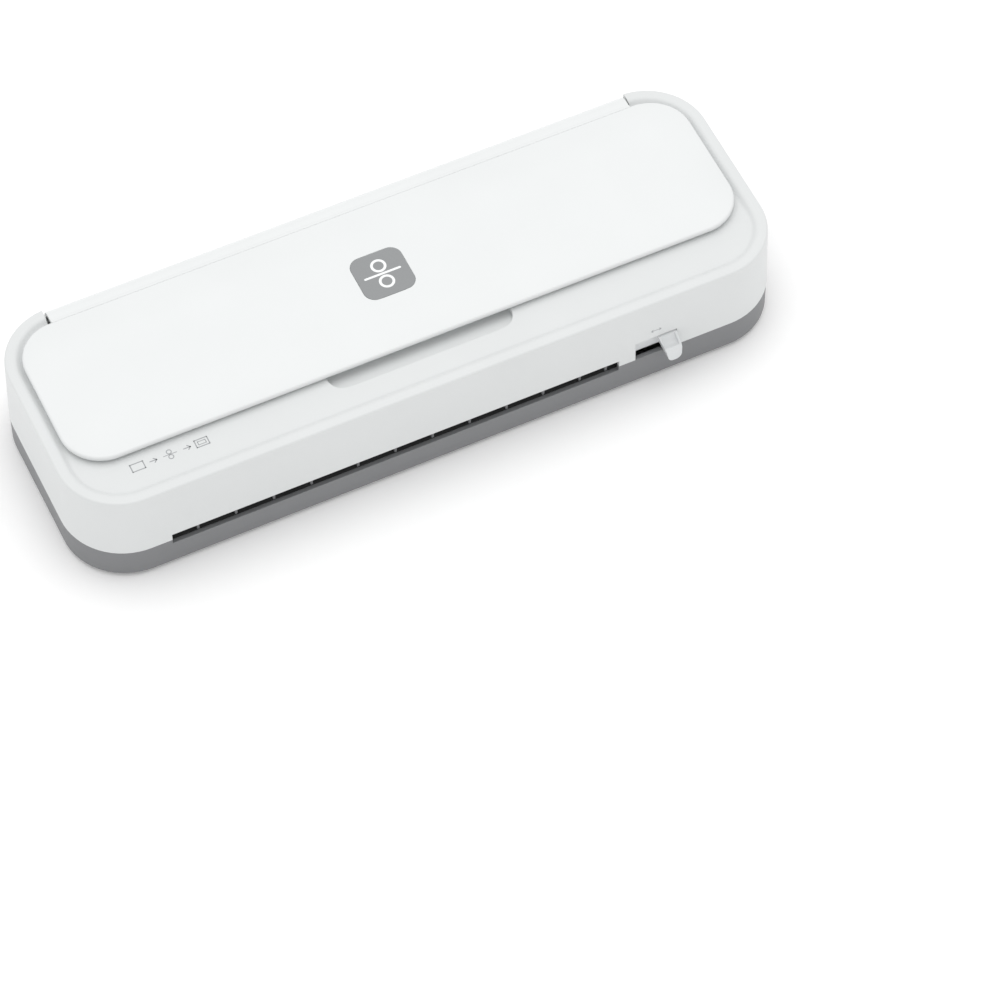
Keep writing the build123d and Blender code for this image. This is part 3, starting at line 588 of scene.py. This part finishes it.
def material_of(kind):
    """One material of each kind, made when it is first asked for."""
    if kind not in made:
        made[kind] = MAKERS[kind]()
    return made[kind]


# ------------------------------------------------------------------ the casings

SLOT_X0, SLOT_X1 = mm(-141.3, 91.8)
SLOT_TOP_Z = 23.4 * MM
SLOT_LOW_Z = 16.5 * MM
NOTCH_X0, NOTCH_X1 = mm(100.7, 122.7)
NOTCH_TOP_Z = 31.8 * MM
FEED_Y0, FEED_Y1 = mm(36.0, 43.0)
LEVER_HIGH_X = 122.4 * MM
POCKET_X = 153.9 * MM
POCKET_Y, POCKET_Z = mm(47.0, 43.9)
HINGE_Y, HINGE_Z = mm(58.4, 48.0)
BUTTON_LOW, BUTTON_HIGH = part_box("power_button")
BUTTON_X, BUTTON_Y = (BUTTON_LOW.x + BUTTON_HIGH.x) / 2, (BUTTON_LOW.y + BUTTON_HIGH.y) / 2
GLAND_X, GLAND_Z = mm(118.0, 30.0)
POSTS = [mm(*p) for p in ((-162, -38), (162, -38), (-162, 38), (162, 38), (-60, 52), (60, 52))]
FEET = [mm(*p) for p in ((-150, -42), (150, -42), (-150, 42), (150, 42))]
SCREW_HEAD_Z, SCREW_SEAT_Z, SCREW_END_Z = mm(10.4, 12.4, 27.0)


def plan_rings(profile, corner, half_w=CASE_HALF_W, half_d=CASE_HALF_D, centre_y=0.0, steps=16):
    """Plan loops, one for each (inset, height) of a wall's profile."""
    rings = []
    for inset, z in profile:
        loop = rounded_loop(half_w - inset, half_d - inset, max(corner - inset, 0.4 * MM), steps, (0.0, centre_y))
        rings.append([(x, y, z) for x, y in loop])
    return rings


class LAMINATOR_OT_upper_casing(bpy.types.Operator):
    """Moulds the white upper casing with its rim, dished deck, slots, notch, hinge pocket and vents"""

    bl_idname = "laminator.upper_casing"
    bl_label = "Upper casing"

    def outer_form(self, s, deck_z):
        lean = math.tan(s.draft) * (RIM_Z - SEAM_Z)
        slope_foot = s.dish_inset + s.dish_run
        points = [(0.0, SEAM_Z), (lean, RIM_Z), (s.dish_inset, RIM_Z), (slope_foot, deck_z),
                  (slope_foot + 4 * MM, deck_z)]
        return loft("upper_casing", plan_rings(softened(points, (0, s.rim_round, 4 * MM, 3 * MM, 0), 8), s.corner))

    def inner_bosses(self, ceiling_z):
        parts = [
            block("pocket_back", (-POCKET_X - 2.4 * MM, POCKET_Y - 2.4 * MM, POCKET_Z - 2.4 * MM),
                  (POCKET_X + 2.4 * MM, 60 * MM, ceiling_z + 1 * MM)),
            block("scoop_back", mm(-52, -44.5, 50.4), (52 * MM, -26.6 * MM, ceiling_z + 1 * MM)),
        ]
        for side in (-1, 1):
            parts.append(extruded("pin_boss", circle((HINGE_Y, HINGE_Z), 5 * MM), "X",
                                  side * POCKET_X, side * (POCKET_X + 7 * MM)))
        for x, y in POSTS:
            top = POCKET_Z - 0.5 * MM if abs(x) < 100 * MM else ceiling_z + 0.5 * MM
            parts.append(extruded("screw_post", circle((x, y), 3.6 * MM), "Z", SEAM_Z, top))
        return parts

    def openings(self, s, deck_z, ceiling_z):
        front = -CASE_HALF_D
        above = deck_z + 3 * MM
        feed = softened([(FEED_Y0, ceiling_z - 1 * MM), (FEED_Y1, ceiling_z - 1 * MM), (FEED_Y1, deck_z - 1.2 * MM),
                         (FEED_Y1 + 4.2 * MM, above), (FEED_Y0 - 4.2 * MM, above), (FEED_Y0, deck_z - 1.2 * MM)],
                        (0, 0, 1 * MM, 0, 0, 1 * MM), 4, closed=True)
        cutters = [
            block("pocket", (-POCKET_X, POCKET_Y, POCKET_Z), (POCKET_X, 80 * MM, 80 * MM)),
            block("exit_slot", (SLOT_X0, front - 2 * MM, SEAM_Z - 1 * MM), (SLOT_X1, front + 5 * MM, SLOT_TOP_Z)),
            block("notch", (NOTCH_X0, front - 2 * MM, SEAM_Z - 1 * MM), (NOTCH_X1, front + 5 * MM, NOTCH_TOP_Z)),
            extruded("feed_slot", feed, "X", SLOT_X0, SLOT_X1),
            extruded("button_hole", circle((BUTTON_X, BUTTON_Y), 6.4 * MM), "Z", ceiling_z - 1 * MM, above),
            extruded("gland_hole", circle((GLAND_X, GLAND_Z), 5 * MM), "Y", 55 * MM, 70 * MM),
            self.finger_scoop(deck_z),
        ]
        for node in ("power_lens", "ready_lens"):
            low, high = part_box(node)
            centre = ((low.x + high.x) / 2, (low.y + high.y) / 2)
            cutters.append(extruded("lens_hole", circle(centre, 1.6 * MM, 24), "Z", ceiling_z - 1 * MM, above))
        for side in (-1, 1):
            cutters.append(extruded("pin_bore", circle((HINGE_Y, HINGE_Z), 1.55 * MM, 24), "X",
                                    side * (POCKET_X - 1 * MM), side * (POCKET_X + 3.8 * MM)))
        for p in POSTS:
            cutters.append(extruded("screw_bore", circle(p, 1.2 * MM, 20), "Z", SEAM_Z - 1 * MM, SCREW_END_Z + 2 * MM))
        louvre = extruded("louvre", rounded_loop(*mm(1.1, 7, 1.1), 6, mm(-42, 30)), "Y", *mm(57, 66))
        cutters.append(repeated(louvre, 13, (7 * MM, 0, 0)))
        return cutters

    def finger_scoop(self, deck_z):
        plan = rounded_loop(47.8 * MM, 8.8 * MM, 8 * MM, 10, (0, -32.8 * MM))
        scoop = extruded("scoop", plan, "Z", deck_z - 6 * MM, deck_z + 3 * MM)
        ramp = softened([mm(-43, 55.1), mm(-38, 54.0), mm(-33, 52.9), mm(-28.5, 52.4), mm(-28.5, 60), mm(-43, 60)],
                        mm(0, 6, 6, 0, 0, 0), 4, closed=True)
        return combined(scoop, "INTERSECT", [extruded("ramp", ramp, "X", -60 * MM, 60 * MM)])

    def execute(self, context):
        s = context.scene.laminator_casing
        deck_z = RIM_Z - s.dish_depth
        ceiling_z = deck_z - s.wall
        piece = self.outer_form(s, deck_z)
        form = duplicate(piece, "form")
        lean = math.tan(s.draft) * (ceiling_z - SEAM_Z)
        top = s.wall + lean
        hollow = softened([(s.wall, SEAM_Z - 1 * MM), (top, ceiling_z), (top + 6 * MM, ceiling_z)], (0, 1.5 * MM, 0), 3)
        combined(piece, "DIFFERENCE", [loft("hollow", plan_rings(hollow, s.corner))])
        bosses = combined(joined("bosses", self.inner_bosses(ceiling_z)), "INTERSECT", [form])
        combined(piece, "UNION", [bosses])
        combined(piece, "DIFFERENCE", self.openings(s, deck_z, ceiling_z))
        finish_edges(piece, s.edge, cut=lambda face: len(face.verts) > 60 and abs(face.normal.z) > 0.99)
        stands_for = [f"upper_shell_{part}" for part in ("front", "deck", "rear", "left", "right")]
        fit(piece, "casing", "white_shell", replaces=stands_for)
        return {"FINISHED"}


class LAMINATOR_OT_base(bpy.types.Operator):
    """Moulds the grey lower casing with its vents, screw wells and foot seats"""

    bl_idname = "laminator.base"
    bl_label = "Lower casing"

    def execute(self, context):
        s = context.scene.laminator_casing
        inset = 0.2 * MM
        floor_z = BASE_Z + s.wall
        profile = softened(
            [(inset + s.wall, floor_z), (inset + s.wall, SEAM_Z), (inset, SEAM_Z), (inset, BASE_Z),
             (inset + 6 * MM, BASE_Z)],
            (0, 0, 0, 1.2 * MM, 0), 4)
        piece = loft("lower_casing", plan_rings(profile, s.corner))
        wells = [extruded("well", circle(p, 4.6 * MM), "Z", floor_z - 0.5 * MM, SEAM_Z) for p in POSTS]
        stands = [extruded("stand", circle((x * MM, y * MM), 2.5 * MM, 20), "Z", floor_z - 0.5 * MM, 8 * MM)
                  for x in (140, 172) for y in (-27, 25)]
        combined(piece, "UNION", wells + stands)
        front = -CASE_HALF_D
        cutters = [block("exit_slot", (SLOT_X0, front - 2 * MM, SLOT_LOW_Z),
                         (SLOT_X1, front + 4.4 * MM, SEAM_Z + 1 * MM))]
        for p in POSTS:
            cutters.append(extruded("screw_hole", circle(p, 1.6 * MM, 20), "Z", 0, SEAM_Z + 1 * MM))
            cutters.append(extruded("counterbore", circle(p, 3.1 * MM, 28), "Z", 0, SCREW_SEAT_Z))
        for p in FEET:
            cutters.append(extruded("foot_seat", circle(p, 7 * MM), "Z", 0, BASE_Z + 0.8 * MM))
        depth = (BASE_Z - 1 * MM, floor_z + 1 * MM)
        louvre = extruded("louvre", rounded_loop(1.2 * MM, 11 * MM, 1.2 * MM, 6, mm(-123, -15)), "Z", *depth)
        cutters.append(repeated(louvre, 12, (6 * MM, 0, 0), 2, (0, 30 * MM, 0)))
        louvre = extruded("louvre", rounded_loop(1.2 * MM, 11 * MM, 1.2 * MM, 6, mm(135, 0)), "Z", *depth)
        cutters.append(repeated(louvre, 6, (6 * MM, 0, 0)))
        cutters.append(extruded("label_recess", rounded_loop(36 * MM, 20 * MM, 2 * MM, 6, mm(30, 0)), "Z",
                                BASE_Z - 1 * MM, BASE_Z + 0.5 * MM))
        combined(piece, "DIFFERENCE", cutters)
        finish_edges(piece, s.edge)
        fit(piece, "casing", "grey_base", replaces=["base_shell"])
        return {"FINISHED"}


class LAMINATOR_OT_exit_slot(bpy.types.Operator):
    """Fits the black lower exit guide and its row of ribs"""

    bl_idname = "laminator.exit_slot"
    bl_label = "Exit slot"

    def execute(self, context):
        s = context.scene.laminator_casing
        low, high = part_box("exit_guide_lower")
        section = [mm(-59.7, 16.4), mm(-59.7, 14.6), mm(-57, 15.6), mm(-30.5, 24.6), mm(-30.5, 26.2)]
        plate = extruded("exit_plate", section, "X", low.x, high.x)
        finish_edges(plate, 0.2 * MM)
        fit(plate, "casing", "black_plastic", replaces=["exit_guide_lower"])
        side = softened([mm(-59.5, 16.0), mm(-59.5, 19.0), mm(-31.5, 28.38), mm(-31.5, 25.4)],
                        mm(0, 0.5, 0.5, 0), 3, closed=True)
        rows = ((-127.2, 4), (-44.6, 7), (86.1, 1))
        ribs = []
        for first_x, count in rows:
            start = first_x * MM - s.rib_width / 2
            rib = finish_edges(extruded("rib", side, "X", start, start + s.rib_width), 0.2 * MM)
            ribs.append(repeated(rib, count, (s.rib_pitch, 0, 0), material=material_of("grey_base")))
        fit(joined("exit_ribs", ribs), "casing", "grey_base")
        return {"FINISHED"}


class LAMINATOR_OT_release_lever(bpy.types.Operator):
    """Shapes the release lever with its rounded tongue and the cover plate that slides behind the notch"""

    bl_idname = "laminator.release_lever"
    bl_label = "Release lever"

    def outline(self):
        """The tongue from the front: its left side leans in over a round tip."""
        x0, x1 = 112.45 * MM, LEVER_HIGH_X - 0.05 * MM
        radius = 3.65 * MM
        tip_x, tip_z = x1 - radius, 21.1 * MM
        points = [(x1, 40 * MM), (x0, 40 * MM), (x0, 31.5 * MM)]
        for k in range(17):
            a = math.radians(180 + 180 * k / 16)
            points.append((tip_x + radius * math.cos(a), tip_z + radius * math.sin(a)))
        return points

    def execute(self, context):
        nose_y = LEVER_LOW.y
        plate_y = -CASE_HALF_D + 3.3 * MM
        wall_y = -CASE_HALF_D
        side = softened([
            (plate_y + 0.5 * MM, 31.3 * MM), (wall_y - 0.3 * MM, 31.1 * MM), (nose_y + 0.5 * MM, 27.4 * MM),
            (nose_y + 0.02 * MM, 25.6 * MM), (nose_y + 0.02 * MM, 17.1 * MM), (nose_y + 2.2 * MM, 17.1 * MM),
            (wall_y - 0.9 * MM, 20.5 * MM), (plate_y + 0.5 * MM, 21.3 * MM)],
            mm(0, 0.8, 2.5, 2.5, 0.8, 0.8, 2, 0), 6, closed=True)
        tongue = extruded("release_lever", side, "X", *mm(111, 124))
        combined(tongue, "INTERSECT", [extruded("front", self.outline(), "Y", -80 * MM, -50 * MM)])
        dish = extruded("dish", circle((wall_y - 4.2 * MM, 31.2 * MM), 3.9 * MM, 96), "X", *mm(113.5, 121.3))
        combined(tongue, "DIFFERENCE", [finish_edges(dish, 0.5 * MM, 3)])
        plate = block("plate", (LEVER_LOW.x, plate_y, 22.3 * MM), (LEVER_HIGH.x, plate_y + 1.5 * MM, 33.4 * MM))
        arm = block("arm", (118 * MM, plate_y + 1.4 * MM, 27 * MM), (126 * MM, LEVER_HIGH.y, LEVER_HIGH.z))
        combined(tongue, "UNION", [plate, arm])
        finish_edges(tongue, 0.5 * MM, 3, 32, clamp=True)
        fit(tongue, "release", "pale_grey", replaces=["release_lever"])
        return {"FINISHED"}


# ------------------------------------------------------------------ the lid


class LAMINATOR_OT_lid(bpy.types.Operator):
    """Forms the crowned lid with its rear strip, which wraps over the hinge"""

    bl_idname = "laminator.lid"
    bl_label = "Lid"

    def crowned_panel(self, s, y0, y1, low_z):
        edge_z = LID_HIGH.z - 0.05 * MM - s.crown
        insets = [s.swell * k / 10 for k in range(2, 11)]
        crown = [(d, edge_z + s.crown * (1 - (1 - d / s.swell) ** 2)) for d in insets]
        outer = [(s.skin, edge_z - 0.7 * MM), (s.skin, low_z), (0.0, low_z), (0.0, edge_z)]
        radii = [0, 0.3 * MM, s.tuck, s.lip] + [0] * len(crown)
        profile = softened(outer + crown, radii, 5)
        half_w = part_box("lid_liner")[1].x + s.skin + 0.1 * MM
        return loft("lid", plan_rings(profile, s.corner, half_w, (y1 - y0) / 2, (y0 + y1) / 2, 18))

    def rear_strip(self, s):
        rear = LID_HIGH.y
        top = 59.0 * MM
        outline = softened([
            (49.2 * MM, 57.4 * MM), (49.2 * MM, 59.9 * MM), (50.9 * MM, 59.7 * MM), (52.6 * MM, top), (rear, top),
            (rear, HINGE_Z - 2.9 * MM), (rear - 5.8 * MM, HINGE_Z - 2.9 * MM), (rear - 5.8 * MM, HINGE_Z),
            (rear - s.skin, HINGE_Z + 3 * MM), (rear - s.skin, top - s.skin), (50.4 * MM, top - s.skin)],
            mm(0, 0, 0.6, 2.4, 6.5, 2.88, 2.88, 0, 1, 4.3, 0), 8, closed=True)
        return extruded("rear_strip", outline, "X", -152.8 * MM, 152.8 * MM)

    def execute(self, context):
        s = context.scene.laminator_lid
        y0, y1, low_z = LID_LOW.y, 50.5 * MM, 57.0 * MM
        piece = self.crowned_panel(s, y0, y1, low_z)
        combined(piece, "UNION", [self.rear_strip(s)])
        half = (BADGE_HIGH.x - BADGE_LOW.x) / 2 + 0.08 * MM
        middle = ((BADGE_LOW.x + BADGE_HIGH.x) / 2, (BADGE_LOW.y + BADGE_HIGH.y) / 2)
        cutters = [extruded("badge_seat", rounded_loop(half, half, 6 * MM, 12, middle), "Z", BADGE_LOW.z, 70 * MM)]
        for side in (-1, 1):
            cutters.append(extruded("pin_seat", circle((HINGE_Y, HINGE_Z), 1.5 * MM, 24), "X",
                                    side * 146 * MM, side * 154 * MM))
        combined(piece, "DIFFERENCE", cutters)
        finish_edges(piece, 0.25 * MM, cut=lambda face: len(face.verts) > 4)
        fit(piece, "lid", "white_shell", material_of("lid_white"), ["lid_panel"])
        return {"FINISHED"}


class LAMINATOR_OT_badge(bpy.types.Operator):
    """Inlays the lid's badge: a plain rounded square with two rollers and the sheet between them"""

    bl_idname = "laminator.badge"
    bl_label = "Badge"

    def execute(self, context):
        half = (BADGE_HIGH.x - BADGE_LOW.x) / 2
        centre = ((BADGE_LOW.x + BADGE_HIGH.x) / 2, (BADGE_LOW.y + BADGE_HIGH.y) / 2)
        top = LID_HIGH.z - 0.03 * MM
        plate = extruded("lid_badge", rounded_loop(half, half, 6 * MM, 14, centre), "Z", BADGE_LOW.z, top)
        finish_edges(plate, 0.15 * MM)
        fit(plate, "lid", "badge_grey", printed("Badge foil, satin grey", finish().badge), ["lid_badge"])
        inlay = []
        for offset in (-5.0 * MM, 5.0 * MM):
            inlay.append(ring_mark((centre[0], centre[1] + offset), 3.9 * MM, 2.6 * MM, top))
        inlay.append(line_mark((centre[0] - 9 * MM, centre[1]), (centre[0] + 9 * MM, centre[1]), 1.2 * MM, top))
        mark = joined("badge_pictogram", inlay)
        fit(mark, "lid", "white_shell", printed("Badge print, white", "#F2F4F4"))
        return {"FINISHED"}


MARK_HIGH = 0.03 * MM
MARK_DEEP = 0.06 * MM


def line_mark(start, end, width, z):
    """A printed line with round ends, lying on a level surface."""
    a, b = Vector(start), Vector(end)
    turn = math.atan2(b.y - a.y, b.x - a.x)
    outline = []
    for centre, first in ((b, turn - math.pi / 2), (a, turn + math.pi / 2)):
        for k in range(9):
            angle = first + math.pi * k / 8
            outline.append((centre.x + width / 2 * math.cos(angle), centre.y + width / 2 * math.sin(angle)))
    return extruded("line", outline, "Z", z - MARK_DEEP, z + MARK_HIGH)


def ring_mark(centre, outer, inner, z, start=0.0, sweep=math.tau, steps=48):
    """A printed ring or arc, lying on a level surface."""
    bm = bmesh.new()
    closed = sweep >= math.tau
    low, high = z - MARK_DEEP, z + MARK_HIGH
    section = ((inner, low), (outer, low), (outer, high), (inner, high))
    spokes = []
    for k in range(steps if closed else steps + 1):
        a = start + sweep * k / steps
        spokes.append([bm.verts.new((centre[0] + r * math.cos(a), centre[1] + r * math.sin(a), h)) for r, h in section])
    pairs = list(zip(spokes, spokes[1:] + spokes[:1])) if closed else list(zip(spokes, spokes[1:]))
    for one, two in pairs:
        for k in range(4):
            bm.faces.new((one[k], two[k], two[(k + 1) % 4], one[(k + 1) % 4]))
    if not closed:
        bm.faces.new(spokes[0])
        bm.faces.new(list(reversed(spokes[-1])))
    return new_piece("ring", bm)


def frame_mark(centre, half_w, half_h, width, z):
    """A printed rectangle outline of four lines."""
    corners = [(centre[0] + sx * half_w, centre[1] + sy * half_h) for sx, sy in ((-1, -1), (1, -1), (1, 1), (-1, 1))]
    return [line_mark(a, b, width, z) for a, b in zip(corners, corners[1:] + corners[:1])]


class LAMINATOR_OT_marks(bpy.types.Operator):
    """Prints the plain pictograms: sheet to rollers to sheet on the deck, guide ticks and the power symbol"""

    bl_idname = "laminator.marks"
    bl_label = "Printed marks"

    def execute(self, context):
        deck_z = RIM_Z - context.scene.laminator_casing.dish_depth
        thin = 0.55 * MM
        y = -41.0 * MM
        marks = []
        marks += frame_mark((-147.6 * MM, y), 3.2 * MM, 2.1 * MM, thin, deck_z)
        marks += frame_mark((-115.2 * MM, y), 3.2 * MM, 2.1 * MM, thin, deck_z)
        marks += frame_mark((-115.2 * MM, y), 1.9 * MM, 0.9 * MM, thin * 0.7, deck_z)
        for x in (-141.4, -124.4):
            marks.append(line_mark((x * MM, y), ((x + 3.4) * MM, y), thin, deck_z))
            for sign in (-1, 1):
                marks.append(line_mark(((x + 3.4) * MM, y), ((x + 2.1) * MM, y + sign * 1.2 * MM), thin, deck_z))
        for sign in (-1, 1):
            marks.append(ring_mark((-131.3 * MM, y + sign * 1.5 * MM), 1.4 * MM, 0.9 * MM, deck_z, steps=32))
        marks.append(line_mark(mm(-134.6, -41.0), mm(-128.0, -41.0), thin * 0.7, deck_z))
        for k in range(12):
            x = SLOT_X0 + (SLOT_X1 - SLOT_X0) * k / 11
            length = 4.0 * MM if k in (0, 11) else 2.2 * MM
            marks.append(line_mark((x, 30.0 * MM), (x, 30.0 * MM - length), 0.4 * MM, deck_z))
        ink = printed("Pad print, light grey", finish().print_ink)
        fit(joined("deck_print", marks), "casing", "badge_grey", ink)

        top = BUTTON_HIGH.z
        arc = ring_mark((BUTTON_X, BUTTON_Y), 2.5 * MM, 1.95 * MM, top, math.radians(120), math.radians(300))
        bar = line_mark((BUTTON_X, BUTTON_Y + 0.6 * MM), (BUTTON_X, BUTTON_Y + 3.0 * MM), thin, top)
        fit(joined("power_symbol", [arc, bar]), "button", "badge_grey", ink)
        self.lever_mark(thin, ink)
        return {"FINISHED"}

    def lever_mark(self, thin, ink):
        """A small double arrow on the front wall over the lever, turned to lie on the leaning wall."""
        x = 111.6 * MM
        flat = [line_mark((x - 2.6 * MM, 0), (x + 2.6 * MM, 0), thin * 0.7, 0.0)]
        for side in (-1, 1):
            for sign in (-1, 1):
                tip, barb = (x + side * 2.6 * MM, 0), (x + side * 1.7 * MM, sign * 0.8 * MM)
                flat.append(line_mark(tip, barb, thin * 0.7, 0.0))
        mark = joined("lever_print", flat)
        lean = bpy.context.scene.laminator_casing.draft
        z = 36.9 * MM
        wall_y = -CASE_HALF_D + math.tan(lean) * (z - SEAM_Z)
        stand = Matrix.Translation((0, wall_y, z)) @ Matrix.Rotation(math.radians(90) - lean, 4, "X")
        mark.data.transform(stand)
        fit(mark, "casing", "badge_grey", ink)


# ------------------------------------------------------------------ underside and fasteners


class LAMINATOR_OT_underside(bpy.types.Operator):
    """Sets the feet and the cross-recess screws under the base"""

    bl_idname = "laminator.underside"
    bl_label = "Feet and screws"

    def execute(self, context):
        profile = softened([mm(0.4, 2.8), mm(6.9, 2.8), mm(6.9, 0), mm(4.6, 0), mm(4.2, 0.5), mm(0.4, 0.5)],
                           mm(0, 0.2, 0.8, 0.3, 0.2, 0), 4)
        for number, (x, y) in enumerate(FEET, 1):
            rings = [[(x + px, y + py, z) for px, py in circle((0, 0), r, 48)] for r, z in profile]
            foot = finish_edges(loft(f"foot_{number}", rings), 0)
            fit(foot, "casing", "rubber", replaces=[f"rubber_foot_{number}"])

        low, seat = SCREW_HEAD_Z, SCREW_SEAT_Z
        head = [(0.3 * MM, seat), (2.8 * MM, seat), (2.8 * MM, seat - 1.2 * MM), (2.2 * MM, low), (0.3 * MM, low)]
        head = softened(head, mm(0, 0, 0.3, 0.5, 0), 4)
        screw = loft("screw", [[(px, py, z) for px, py in circle((0, 0), r, 32)] for r, z in head])
        shank = extruded("shank", circle((0, 0), 1.15 * MM, 16), "Z", seat - 0.2 * MM, SCREW_END_Z)
        combined(screw, "UNION", [shank])
        recess = [block("slot", (-a * MM, -b * MM, low - 0.2 * MM), (a * MM, b * MM, low + 1.2 * MM))
                  for a, b in ((1.8, 0.4), (0.4, 1.8))]
        combined(screw, "DIFFERENCE", recess)
        finish_edges(screw, 0.08 * MM)
        screws = set_on("case_screws_set", screw, [(x, y, 0.0) for x, y in POSTS], material_of("plated_steel"))
        fit(screws, "casing", "plated_steel", replaces=["case_screws"])
        return {"FINISHED"}


# ------------------------------------------------------------------ drive parts, finished from the frame

TURNED = ("lower_roller_shaft", "upper_roller_shaft", "idler_pin", "hinge_pin_left", "hinge_pin_right")
WIRES = ("nip_spring_left", "nip_spring_right", "button_spring")
NO_BEVEL = WIRES + ("lower_roller_gear", "upper_roller_gear")


def refined(node):
    """A merged copy of a frame node with rounded edges, which stands for it."""
    bm = bmesh.new()
    bm.from_mesh(frame["nodes"][node].data)
    bmesh.ops.remove_doubles(bm, verts=bm.verts, dist=0.002 * MM)
    if node not in WIRES:
        bmesh.ops.dissolve_limit(bm, angle_limit=math.radians(0.5), verts=bm.verts, edges=bm.edges)
    piece = new_piece(node + "_finish", bm)
    return finish_edges(piece, 0 if node in NO_BEVEL else 0.2 * MM, clamp=True)


class LAMINATOR_OT_drive(bpy.types.Operator):
    """Finishes the rollers, gears, frame, heaters, boards and small parts from the frame"""

    bl_idname = "laminator.drive"
    bl_label = "Drive and small parts"

    def execute(self, context):
        bodies = frame["record"]["behaviour"]["bodies"]
        body_of = {node: body for body, nodes in bodies.items() for node in nodes}
        slots = {part["node"]: part["material_slot"] for part in frame["record"]["subparts"]}
        standing = [node for node, obj in frame["nodes"].items() if not obj.hide_render]
        for node in sorted(standing):
            kind = "turned_steel" if node in TURNED + WIRES else slots[node]
            if kind == "board_parts":
                kind = "black_plastic"
            if node in WIRES:
                self.spring(node, slots[node])
                continue
            fit(refined(node), body_of[node], slots[node], material_of(kind), [node])
        return {"FINISHED"}

    def spring(self, node, slot):
        """A spring stays with the casing and gets a mesh of its own."""
        piece = fit(refined(node), "casing", slot, material_of("turned_steel"), [node])
        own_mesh(piece)


# ------------------------------------------------------------------ stage


class LAMINATOR_OT_stage(bpy.types.Operator):
    """Sets the pale floor, the soft studio light and the camera"""

    bl_idname = "laminator.stage"
    bl_label = "Stage"

    def softbox(self, name, place, aim, size, power):
        light = bpy.data.lights.new(name, "AREA")
        light.shape = "RECTANGLE"
        light.size, light.size_y = size
        light.energy = power
        lamp = bpy.data.objects.new(name, light)
        lamp.location = place
        lamp.rotation_euler = (Vector(place) - Vector(aim)).to_track_quat("Z", "Y").to_euler()
        bpy.context.scene.collection.objects.link(lamp)

    def execute(self, context):
        s = context.scene.laminator_stage
        scene = context.scene
        bm = bmesh.new()
        bmesh.ops.create_grid(bm, x_segments=8, y_segments=8, size=4.0)
        floor = new_piece("floor", bm)
        floor.data.materials.append(backdrop())

        self.softbox("Overhead softbox", (0.1, 0.35, 1.6), (0, 0, 0), (2.2, 1.6), s.softbox)
        world = bpy.data.worlds.new("Studio")
        world.use_nodes = True
        sky = world.node_tree.nodes["Background"].inputs
        sky["Color"].default_value = (1.0, 1.0, 1.0, 1.0)
        sky["Strength"].default_value = s.fill
        scene.world = world
        scene.view_settings.view_transform = "Standard"

        back = Vector((math.sin(s.azimuth) * math.cos(s.elevation), -math.cos(s.azimuth) * math.cos(s.elevation),
                       math.sin(s.elevation)))
        level = Vector((math.cos(s.azimuth), math.sin(s.azimuth), 0))
        rise = back.cross(level)
        right = level * math.cos(s.roll) + rise * math.sin(s.roll)
        up = back.cross(right)
        camera = bpy.data.objects.new("Camera", bpy.data.cameras.new("Camera"))
        camera.data.lens = s.lens
        camera.data.sensor_width = 36.0
        camera.data.clip_end = 20.0
        place = Vector((0, 0, BASE_Z)) + right * 52.404 * MM - up * 67.949 * MM + back * s.distance
        turn = Matrix((right, up, back)).transposed().to_4x4()
        camera.matrix_world = Matrix.Translation(place) @ turn
        scene.collection.objects.link(camera)
        scene.camera = camera
        return {"FINISHED"}


class LAMINATOR_PT_panel(bpy.types.Panel):
    """Lists the settings and the steps in the 3D view's sidebar."""

    bl_label = "Pouch Laminator"
    bl_space_type = "VIEW_3D"
    bl_region_type = "UI"
    bl_category = "Laminator"

    def draw(self, context):
        for name in GROUPS:
            group = getattr(context.scene, name)
            column = self.layout.column(align=True)
            for field in group.bl_rna.properties:
                if field.identifier not in ("rna_type", "name"):
                    column.prop(group, field.identifier)
        for step in STEPS:
            self.layout.operator(step.bl_idname)


GROUPS = {
    "laminator_casing": CasingSettings,
    "laminator_lid": LidSettings,
    "laminator_finish": FinishSettings,
    "laminator_stage": StageSettings,
}
STEPS = (
    LAMINATOR_OT_upper_casing,
    LAMINATOR_OT_base,
    LAMINATOR_OT_exit_slot,
    LAMINATOR_OT_release_lever,
    LAMINATOR_OT_lid,
    LAMINATOR_OT_badge,
    LAMINATOR_OT_marks,
    LAMINATOR_OT_underside,
    LAMINATOR_OT_drive,
    LAMINATOR_OT_stage,
)


def register():
    for kind in (*GROUPS.values(), *STEPS, LAMINATOR_PT_panel):
        bpy.utils.register_class(kind)
    for name, kind in GROUPS.items():
        setattr(bpy.types.Scene, name, bpy.props.PointerProperty(type=kind))


def unregister():
    for name in GROUPS:
        delattr(bpy.types.Scene, name)
    for kind in (LAMINATOR_PT_panel, *STEPS, *GROUPS.values()):
        bpy.utils.unregister_class(kind)


def main():
    register()
    for step in STEPS:
        group, name = step.bl_idname.split(".")
        getattr(getattr(bpy.ops, group), name)()


if __name__ == "__main__":
    main()
